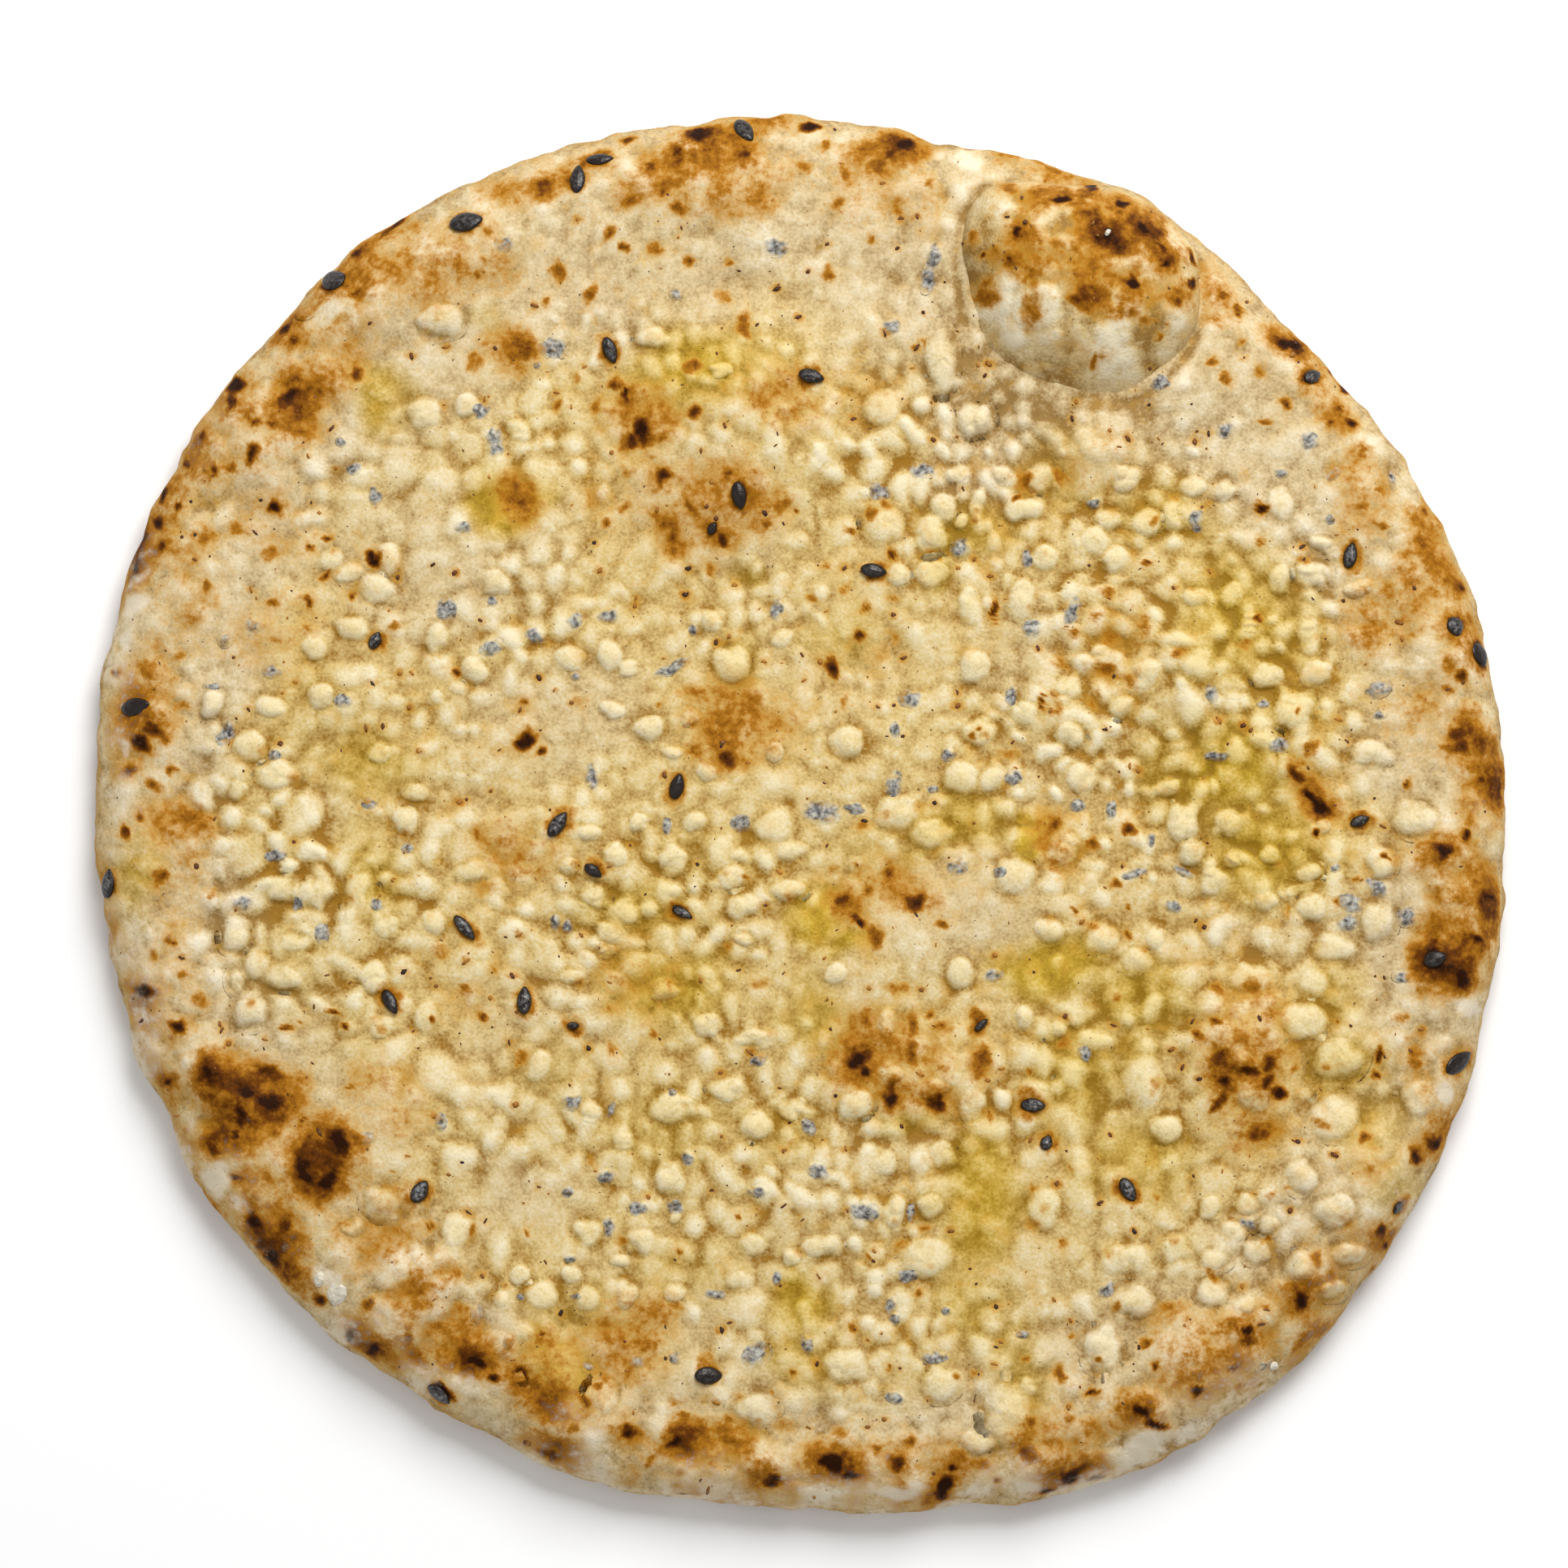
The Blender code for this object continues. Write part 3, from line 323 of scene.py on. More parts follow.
    (-15, -87.1, 1.1, 0.4, 0, 0.85), (-9.3, -77.8, 0.7, 1.1, 0, 0.5), (-1.2, -72, 0.5, 0.9, 0, 0.6),
    (-2, -78, 2, 1.3, 0, 0.35), (-22.3, -67.8, 1.1, 0.7, 0, 0.45), (-16, -63.5, 1.4, 0.8, 0, 0.45),
    (-43.7, -59, 0.9, 0.4, 0, 0.5), (15.6, -53.4, 1.1, 0.7, 0, 0.45), (12.7, -55.7, 0.7, 0.8, 0, 0.4),
    (29.2, -53.5, 1.1, 1.1, 0, 0.4), (33, -71.8, 0.9, 1.4, 20, 0.6), (43.5, -68.3, 1.1, 0.9, 0, 0.6),
    (3.7, -83, 1.9, 1.3, -20, 1.15), (6.3, -84.5, 1.5, 0.6, -12, 1), (5, -79.3, 1.2, 1.2, 0, 0.45),
    (12, -83, 1.4, 1.2, 0, 0.85), (18.1, -86.6, 0.9, 2.3, -5, 1.05), (22.3, -83.5, 3, 1.3, 0, 0.5),
    (28.4, -82.2, 1.4, 1.9, 0, 0.7), (29, -77.8, 1.2, 1.2, 0, 0.65), (34.4, -84.5, 2.3, 1.2, 15, 1.1),
    (31, -86.6, 1.7, 0.7, 10, 0.95), (37.3, -85.6, 1.8, 0.6, 15, 0.8), (24.5, -85.5, 0.7, 0.4, 0, 0.7),
    (43.1, -76.6, 1.6, 0.9, 0, 1.15), (44.6, -78.3, 1.5, 0.8, -40, 1.1), (42.5, -75, 2.6, 0.8, 5, 0.45),
    (45.9, -63.9, 1.2, 0.6, 15, 0.6), (73, -54, 0.9, 1.3, 0, 0.85), (73.7, -55.9, 0.9, 0.4, 0, 0.9),
    (65, -57.5, 0.9, 1.3, 0, 0.5), (66.6, -59.5, 1.4, 1.5, 0, 0.5), (62.7, -61.9, 2.2, 1.8, 0, 0.7),
    (62.7, -62.6, 1.2, 1.4, 0, 1.1), (56.3, -66.2, 1.7, 0.8, -22, 1.15), (57.1, -68.1, 1.3, 1, 0, 0.7),
    (50, -72.8, 2.3, 1.9, 0, 0.45), (50, -74.3, 0.8, 0.4, 0, 1), (54.2, -71, 1, 0.8, 0, 0.7),
    (55.6, -73.6, 1.1, 0.7, 0, 0.55), (72.3, -59, 0.8, 1.2, 0, 0.6), (64, -68, 3, 0.9, 35, 0.5),
    (37.3, 74, 0.8, 1.9, 0, 0.78), (38.3, 72.2, 0.7, 1.7, 30, 0.8), (39.7, 73.5, 0.45, 1.4, -35, 0.72),
    (36.2, 72, 2.2, 1.1, 35, 0.55), (38.9, 71.1, 0.7, 0.8, 0, 0.8), (36.8, 69.3, 2.8, 1.2, 25, 0.5),
    (33, 77, 1.9, 0.9, 8, 1.05), (41, 76.3, 1.2, 0.9, -25, 1.1), (43.3, 73, 1.8, 0.6, -50, 0.9),
    (45, 70.8, 1.4, 0.4, -55, 0.78), (46, 69.1, 0.5, 0.9, -20, 0.95), (49.8, 70.2, 0.5, 1.3, 20, 0.9),
    (35.7, 64.1, 2.4, 1.1, -15, 0.7), (48, 63.9, 1.2, 0.9, 0, 0.62), (44, 61, 1.3, 0.6, 30, 0.5),
    (22, 72.7, 0.5, 1.1, -20, 0.55), (29, 61.9, 1, 1.6, 0, 0.5), (23.6, 66.2, 1.2, 1.1, 0, 0.5),
    (25.6, 78.8, 1, 0.6, 0, 0.45), (39.2, 75.9, 1.6, 0.7, -30, 0.5), (32.6, 73.6, 2.4, 1.9, 0, -0.5),
    (32.4, 64.8, 2.2, 3, 0, -0.25), (47, 61.6, 2.2, 1.6, 0, -0.3), (47, 73.5, 1, 1.8, -40, -0.15),
    (40.5, 59, 3.5, 1.5, 0, -0.2), (66.2, -0.4, 2.2, 1.1, -35, 1), (64.6, 0.6, 0.7, 1.8, 20, 1.15),
    (63, 3.6, 0.8, 2.2, 25, 0.8), (64.8, -3.4, 0.5, 0.8, 0, 0.9), (37, 70.4, 1.6, 1, 20, -0.3),
)

# Round browned spots: middle x, y, radius, strength.
SPOTS = (
    (65.3, 55.1, 1.5, 1), (68.5, 56, 0.7, 0.9), (56.4, 59.2, 0.5, 0.6), (52.7, 57, 0.6, 0.6),
    (54.2, 54.7, 0.8, 0.6), (69, 51, 0.6, 0.6), (69.9, 49.2, 0.5, 0.9), (59, 48.8, 0.4, 0.6),
    (7.3, 84.7, 0.4, 0.6), (3.2, 84.8, 0.7, 0.6), (26.7, 84.1, 0.6, 0.6), (0.5, 81.5, 1.2, 0.5),
    (3.3, 68, 1, 0.5), (9, 72.3, 0.5, 0.6), (-7, 83.3, 0.7, 0.8), (-11.7, 84.9, 0.4, 0.7),
    (-19.4, 82.2, 0.7, 0.7), (-22.3, 85.7, 0.7, 0.7), (-17.8, 78.7, 0.7, 0.6), (-15.7, 76.4, 0.8, 0.6),
    (-33.1, 78.7, 0.7, 0.7), (-37.8, 78.8, 0.4, 0.6), (-22.2, 71.4, 0.7, 0.6), (-14.1, 70.2, 0.8, 0.6),
    (-9.7, 65.1, 1.2, 0.45), (-32.8, 64.1, 0.6, 0.6), (-41.7, 67.9, 0.4, 0.6), (-39.7, 73.3, 0.6, 0.6),
    (-14, 55.8, 1.1, 0.65), (-28.7, 54.4, 0.7, 0.5), (-22, 52.5, 0.4, 1), (-21.5, 46.3, 1.5, 0.8),
    (-17.7, 47, 1.2, 0.6), (-5.3, 51.5, 1.2, 0.5), (-73, 52, 0.9, 0.9), (-72.9, 50.8, 0.7, 0.8),
    (-57, 55.1, 1, 0.7), (-60, 55.2, 0.6, 0.6), (-69.7, 44.5, 1.2, 0.85), (-56.4, 65.7, 0.7, 0.6),
    (-54.6, 69.6, 0.5, 0.6), (-76.5, 47.3, 0.5, 0.8), (-79, 38.3, 0.6, 0.8), (-78.5, 44.6, 0.8, 0.8),
    (-75, 42.5, 0.6, 0.8), (-57.2, 26.9, 0.6, 0.7), (-67, 21.2, 0.9, 0.45), (-62.9, 22.4, 0.4, 0.6),
    (-79.5, 19.5, 1, 0.45), (-82.5, 10.5, 0.8, 0.8), (-78.5, 12.5, 1.2, 0.45), (-9.8, 42.3, 0.8, 0.75),
    (-24.8, 36.1, 0.5, 0.7), (-33.1, 6.6, 0.5, 0.8), (-6, 12.8, 1.5, 0.35), (-13.6, 6.9, 0.5, 0.6),
    (-15.8, 32.5, 0.8, 0.6), (-11.7, 30, 1, 0.5), (-26.5, 39, 1, 0.4), (-35.1, 13.3, 0.4, 0.7),
    (-28, 12.8, 1.5, 0.3), (11.6, 32, 0.5, 0.8), (7.4, 21.1, 0.7, 0.8), (9.3, 37.1, 0.7, 0.6),
    (10.7, 38.4, 0.6, 0.5), (3.1, 30.4, 0.7, 0.5), (11.8, 26.3, 0.7, 0.5), (11.8, 21.4, 1.2, 0.4),
    (10, 18.8, 2, 0.3), (37, 23.7, 0.9, 0.5), (22.4, 9.5, 0.4, 0.6), (21.8, 8.4, 0.4, 0.6),
    (58.3, 38.1, 0.5, 1), (83.3, 22.8, 1.4, 1.05), (77.4, 3.1, 0.6, 0.7), (74.2, 40.6, 0.8, 0.6),
    (79.7, 37.8, 0.9, 0.6), (71.1, 45.2, 0.4, 0.6), (82.5, 17.7, 1.3, 0.5), (62.7, 11.5, 0.5, 0.5),
    (45.3, 36.5, 0.5, 0.5), (51.8, 39.1, 0.4, 0.5), (56.5, 20.7, 0.8, 0.4), (-80.5, -34.8, 0.4, 0.9),
    (-62.9, -40, 0.3, 0.8), (-83.8, -1.3, 0.5, 0.7), (-75, -2.1, 0.6, 0.6), (-78.5, -21.5, 0.7, 0.5),
    (-75, -11, 0.8, 0.4), (-46.6, -27.3, 0.5, 0.6), (-45.6, -18.7, 1.2, 0.4), (-57.8, -28.1, 0.3, 0.8),
    (-63.2, -27.4, 0.4, 0.6), (-24.4, -30.9, 0.6, 0.5), (-41.2, -3.9, 0.5, 0.55), (-39.1, -20.7, 0.8, 0.4),
    (-9.3, -17.6, 0.8, 0.4), (-6.9, -9.7, 0.5, 0.5), (-16.7, -23, 0.8, 0.35), (-1.1, -42.9, 0.8, 0.35),
    (7.7, -15.1, 0.5, 1.15), (7.2, -7.8, 0.5, 0.5), (18, -15.2, 0.6, 0.65), (9, -10.5, 0.9, 0.55),
    (35, -13, 0.4, 0.65), (37, -5.3, 0.7, 0.6), (39.7, -10.2, 0.4, 0.75), (41.3, -12.7, 0.3, 0.7),
    (41.5, -16.7, 0.4, 0.7), (16, -26.4, 0.6, 0.7), (29, -33.5, 0.3, 0.7), (39.5, -24.3, 0.5, 0.5),
    (74.6, -6.2, 0.5, 0.8), (70.3, -9.3, 0.4, 0.6), (68.2, -12.1, 0.3, 0.7), (61.8, -13.3, 0.5, 0.5),
    (66, -40.5, 1, 0.45), (50.2, -29.7, 0.8, 0.7), (67.9, -27.4, 0.3, 0.7), (80.2, -11, 0.7, 0.5),
    (-67.6, -47.6, 0.8, 0.55), (-70, -46.5, 1, 0.4), (-48, -69.5, 0.6, 0.7), (-46.6, -53.6, 0.5, 0.7),
    (-51.9, -46.4, 0.3, 0.6), (-33, -67.2, 0.5, 0.8), (-11.8, -83.3, 0.7, 0.5), (-16, -75.2, 0.7, 0.5),
    (-14.6, -77.2, 0.6, 0.5), (-12, -70, 1, 0.4), (-18.1, -68, 0.6, 0.5), (-22.4, -55, 0.8, 0.5),
    (-7.8, -52.2, 0.5, 0.6), (-15, -56.5, 0.4, 0.6), (-41.8, -54.3, 0.4, 0.6), (-34.7, -54.4, 0.3, 0.6),
    (-27, -45, 0.6, 0.5), (14.7, -61.2, 0.6, 0.5), (29.3, -48.8, 0.6, 0.5), (34.5, -46, 0.6, 0.45),
    (38, -70.3, 0.7, 0.5), (44.6, -71.3, 0.4, 0.8), (34.2, -67.6, 0.4, 0.6), (39.5, -63.7, 0.5, 0.55),
    (13.8, -80.7, 0.9, 0.6), (9.2, -81.3, 0.7, 0.6), (19.2, -84, 0.5, 0.95), (37, -79, 0.8, 0.5),
    (19.5, -72.3, 0.6, 0.5), (22.5, -72, 0.9, 0.35), (11.5, -71, 0.5, 0.6), (8.7, -57.3, 0.4, 0.6),
    (61, -48.9, 0.6, 0.55), (58.8, -49.8, 0.6, 0.5), (58.6, -55.3, 0.6, 0.6), (52, -59.8, 0.6, 0.6),
    (69, -53, 0.8, 0.5), (71.5, -46, 0.8, 0.45), (45.2, -49.3, 0.5, 0.6), (33.6, -55.9, 0.4, 0.7),
    (28.5, -70, 0.6, 0.6), (36.8, -74.5, 0.6, 0.9), (6.7, -66.5, 0.4, 0.7), (-3.8, -74.3, 0.4, 0.6),
    (37.1, 79.1, 0.8, 0.95), (37.3, 78.3, 0.6, 0.8), (27.3, 72.4, 0.75, 0.95), (41.8, 65.9, 1, 1.05),
    (49.7, 66.3, 0.75, 0.95), (37.1, 56.5, 0.8, 0.5), (42.1, 62.2, 0.9, 0.55), (39, 61.8, 0.6, 0.45),
    (45.6, 59.6, 0.5, 0.5), (26.1, 69.2, 0.3, 0.8), (23.2, 70.1, 0.35, 0.8), (28.5, 66.5, 0.5, 0.45),
)

# Where oil has soaked in: middle x, y, half-lengths, turn, strength.
OIL_POOLS = (
    (-13, 57, 11, 6.5, 0, 0.75), (-19, 54, 4.5, 4, 0, 0.35), (-4, 57, 6, 4, 0, 0.5),
    (-53.5, 51.5, 5.5, 6.5, 20, 0.65), (-40, 62, 4, 2.5, 0, 0.35), (-38, 39, 7, 6, 0, 0.85),
    (56, 24, 12, 11, 0, 0.62), (46, 36.5, 8, 6, 0, 0.4), (54, 4, 13, 10, 0, 0.72), (58, -6, 12, 9, 0, 0.65),
    (21, 35, 7.5, 4.5, 0, 0.55), (16.4, 30.5, 3.5, 4.5, 0, 0.5), (33, 43, 7, 6, 0, 0.35),
    (4.5, 22, 6, 4.5, 0, 0.45), (-56, 5.5, 9, 6, 0, 0.55), (-54, -9, 6, 8, 0, 0.5), (-84, -8, 4, 7, 0, 0.6),
    (-20, -14, 12, 5, 0, 0.5), (-17, -24, 11, 7, 0, 0.65), (2.5, -14.5, 4.5, 5.5, 0, 0.9),
    (6.5, -17.8, 4, 2.5, 0, 0.7), (1.5, -26, 6, 7, 0, 0.55), (28.5, -5, 2.6, 4.5, 0, 1),
    (20, -2.5, 9, 5, 0, 0.6), (32, -21, 10, 5, 0, 0.8), (42, -24, 9, 7, 0, 0.6), (36, -34, 9, 12, 0, 0.55),
    (43.5, -31, 3, 5, -35, 0.5), (43, -45, 9, 7, 0, 0.55), (23, -50, 5.5, 12, 0, 0.7),
    (22, -62, 6, 9, 0, 0.5), (13.5, -40.5, 5, 2.5, 0, 0.5), (70, -33, 7, 6, 0, 0.5), (72, -41, 8, 6, 0, 0.5),
    (75, -47.5, 5, 4, 0, 0.45), (27, -73, 5, 10, 0, 0.5), (-0.5, -63, 5, 6, 0, 0.7), (0, -70, 6, 7, 0, 0.4),
    (-14, -59, 8, 5, 0, 0.3), (-31, -70, 6, 6.5, 0, 0.8), (-29, -64, 9, 4, 0, 0.35),
    (-18, -41.5, 11, 6, 0, 0.35), (-32, -34, 8, 6, 0, 0.3), (-2.5, -42, 7, 5, 0, 0.3), (9, -6, 6, 4, 0, 0.25),
    (-7, 31, 3, 2, 0, 0.5), (-8, 18.5, 4, 4, 0, 0.35), (17, -50.5, 3.5, 3.5, 0, 0.45),
    (-63, 12, 9, 8, 0, 0.2), (-66, -20, 8, 9, 0, 0.2), (-10, -80, 8, 5, 0, 0.3), (62, 13, 7, 7, 0, 0.35),
    (36, -47.5, 4, 3, 0, 0.4), (-12, -6, 12, 6, 0, 0.25), (68, -24, 7, 6, 0, 0.4),
)

# Loose flour on the rim: middle x, y, half-lengths, turn, strength.
FLOUR_PATCHES = (
    (-85, 26, 3.2, 1.6, 20, 0.9), (-85.5, 21.5, 1.4, 2.8, 0, 0.8), (-86.5, 7, 1.4, 2.4, 0, 0.6),
    (-83.4, -26.3, 2, 1.3, 0, 0.7), (-86, -17.4, 1, 1.8, 0, 0.6), (-76.9, -41, 2, 2.4, 0, 0.5),
    (-74, -47.5, 3, 3, -45, 0.9), (-71, -50.5, 2.6, 2, -45, 0.7), (-60, -60, 2.4, 1.8, 0, 0.8),
    (-53, -65, 1.8, 2.4, 0, 0.5), (-43, -73.5, 4.5, 2, -25, 0.6), (-26.5, -80, 2.5, 2.5, 0, 0.6),
    (-28, -82.4, 2.4, 1, 0, 0.6), (2.5, -87, 5, 1.6, 0, 0.9), (12, -87, 5.5, 1.5, 0, 0.9),
    (22, -87, 2.8, 1.2, 0, 0.8), (28.5, -86, 2.8, 1.5, 0, 0.9), (42.5, -81.5, 4.5, 2.2, 20, 1),
    (48.5, -79, 3.5, 1.8, 25, 0.9), (27, -83, 1.4, 2.4, 0, 0.5), (84.5, -26, 2.4, 1.8, 0, 0.9),
    (81.7, -36.5, 2.2, 2.2, 0, 1), (-85, 29.5, 4, 1.2, 25, 0.7), (86.5, -2, 1.6, 5, 0, 0.35),
    (-60, 63.5, 3.2, 1.4, 25, 0.6), (-30, -76.5, 3, 3, 0, 0.4), (-38, -79, 6, 2, -22, 0.4),
)

# Plain places where the dough lies almost bare: middle x, y, half-lengths, turn, strength.
BARE_DOUGH = (
    (60, 60, 22, 12, -45, 1), (10, 68, 14, 14, 0, 0.9), (-14, 70, 22, 10, 0, 0.9), (-45, 60, 22, 14, 45, 0.8),
    (-62, -42, 16, 14, 0, 0.9), (-45, 32, 20, 13, 0, 0.7), (-30, 12, 16, 10, 0, 0.6),
    (-38, -30, 18, 12, 0, 0.5), (28, 20, 9, 9, 0, 0.5), (66, 44, 12, 10, 0, 0.8), (-10, 38, 12, 9, 0, 0.7),
    (20, -14, 14, 8, 0, 0.6), (60, -16, 10, 5, 0, 0.5), (72, -16, 7, 12, 0, 0.6), (-35, -50, 14, 6, 0, 0.5),
    (-18, -64, 16, 10, 0, 0.4), (30, -60, 10, 8, 0, 0.3), (48, -68, 10, 8, 0, 0.7), (-72, 32, 10, 10, 0, 0.7),
    (6, -24, 8, 5, 0, 0.4), (76, 10, 6, 14, 0, 0.6),
)

# Curd grains that stand out crisply: middle x, y, half-lengths.
CRISP_GRAINS = (
    (10.3, 50.9, 2.7, 2.6), (17.9, 57, 2.1, 4.3), (22.2, 49.3, 2.5, 2.3), (49.8, 40.7, 2, 1.7),
    (54, 40.4, 1.4, 1.6), (47.1, 36.8, 1.6, 2.3), (37.3, 33.9, 2.3, 2.2), (39.9, 31.5, 1.9, 1.9),
    (18.1, 38, 2, 2), (20.5, 36.3, 1.3, 1.2), (16.4, 34.5, 2.4, 2.8), (16.4, 29.6, 2.2, 1.8),
    (28.3, 38, 2.5, 1.8), (30.6, 42, 2.1, 2.1), (41.4, 41.7, 2, 1.8), (39.1, 36.5, 2, 1.4),
    (31.2, 31.5, 2.2, 2), (20, 42.5, 1.8, 1.4), (25.5, 42, 1.3, 1.5), (44, 36.1, 2, 2),
    (22.2, 17.8, 2.3, 2.2), (28, 26.3, 2, 2.9), (33.9, 15.1, 1.8, 1.8), (22.7, 9.5, 2.2, 2.1),
    (34.2, 8.9, 2.3, 1.8), (20.2, 3.6, 2.3, 2.2), (5.8, 8.2, 2.3, 2.2), (12.2, 29.6, 1.8, 1.7),
    (43.5, 17, 2.2, 2), (40.7, 12.8, 2, 2), (65, 29.6, 2.4, 1.9), (54.5, 26.8, 1.6, 1.8),
    (50.3, 26.6, 1.8, 1.6), (59.3, 16.4, 2.3, 1.8), (65.4, 16.8, 2.1, 1.8), (62.6, 11.8, 2.8, 2.7),
    (46.6, 2, 2, 1.5), (-74.7, 13, 1.8, 1.8), (-54, 27.5, 2.4, 2.3), (-46.3, 21.2, 1.9, 2.1),
    (-57, 22.5, 2.5, 2), (-61, 14, 1.8, 1.8), (-67.5, 12.5, 2.3, 1.6), (-70, 7.3, 2.3, 2.2),
    (-66.5, 3.8, 3.2, 2), (-52.5, 31.5, 1.9, 2.2), (-8.8, 18.3, 2.6, 2.5), (-11.3, 23.5, 1.7, 1.7),
    (-12, 4, 1.7, 1.4), (-3.5, 6.6, 1.2, 1.2), (-19.5, 10, 2.2, 2), (-41.7, 17.3, 2, 1.8),
    (-29.5, 18.8, 2.3, 1.6), (-39, 28.5, 2, 1.6), (-24.5, 19.2, 1.8, 2.3), (-65.8, -10.5, 2.5, 1.9),
    (-61.1, -11.2, 1.9, 2.2), (-71.9, -17, 2, 2), (-69.8, -26.3, 2.4, 2.3), (-65, -22, 2.3, 1.8),
    (-54.2, -21.7, 2, 2), (-46.6, -15.1, 2, 1.9), (-50.2, -2, 1.8, 1.8), (-26.8, -3.6, 1.7, 1.3),
    (-23.6, -6.4, 2, 1.8), (-16.1, -6.9, 2.2, 2.1), (-13.5, -2, 1.8, 1.7), (-7.9, -6.6, 2, 1.4),
    (-9, -9.2, 2.1, 1.6), (-7.5, -12.8, 2.4, 2), (-2, -10.8, 2.8, 1.7), (-26.1, -11.7, 2.3, 1.5),
    (-22.3, -13.6, 1.9, 1.5), (-29.6, -7.9, 1.8, 1.5), (-33.3, -32.8, 2, 2.2), (-11.8, -27.9, 2.1, 1.7),
    (-5.7, -40.7, 2.3, 2.2), (-24.6, -15.9, 1.7, 1.3), (-17.2, -23.6, 2.1, 1.4), (38, -17, 2.3, 2.2),
    (44.8, -17, 1.8, 1.8), (20, -21.5, 2.2, 2.2), (31.5, -16, 2, 1.9), (7, -38, 2.2, 2),
    (11.6, -34, 1.5, 1.4), (28.3, -27, 1.6, 2), (33, -28.3, 1.4, 1.4), (30.8, -33, 1.5, 2.9),
    (48.2, -2.5, 2.3, 2.7), (54.3, -2, 2, 1.9), (49.5, -6, 1.8, 1.7), (54.5, -7, 1.1, 1.3),
    (59.5, -6.5, 1.6, 1.5), (64.5, -8.5, 2, 1.5), (73.5, -7.5, 2, 2), (73.2, -14.8, 2.2, 2.7),
    (63.5, -27.3, 3.2, 2.7), (56, -32.6, 1.8, 1.6), (46, -41, 2.2, 2), (64.5, -13, 2.4, 2),
    (59, -12, 1.4, 1.6), (-32.8, -62, 2.1, 2.1), (-22.2, -62, 1.8, 1.9), (-29, -59.7, 1.5, 1.3),
    (-35.5, -59.5, 1.4, 1.2), (-27, -62.7, 1.8, 2), (-43.6, -53.8, 2.3, 2.4), (-22.7, -57.6, 1.6, 1),
    (-1.2, -57.5, 1.3, 1.3), (11.8, -51.5, 1.7, 2.4), (16.5, -50.8, 1.8, 1.8), (17.8, -44.3, 2.2, 2),
    (63, -47, 2.2, 2.4), (67, -51.3, 2.7, 2.2), (51.7, -51, 1.8, 1.6), (56.3, -50.5, 1.6, 1.4),
    (59.2, -53, 1.6, 1.6), (52, -57.5, 2.3, 1.7), (57.5, -56.5, 2, 1.8), (56.5, -63, 2, 1.5),
    (63, -58.4, 2.2, 2.2), (69.3, -57, 2.4, 1.5), (67, -61.5, 2.1, 1.4), (52, -61.5, 2.3, 2),
    (-10.5, 55.5, 1.8, 1.1), (-19, 59.5, 2.4, 1.5), (-46, 62, 3, 2.3), (-42.5, 51, 1.8, 1.6),
)

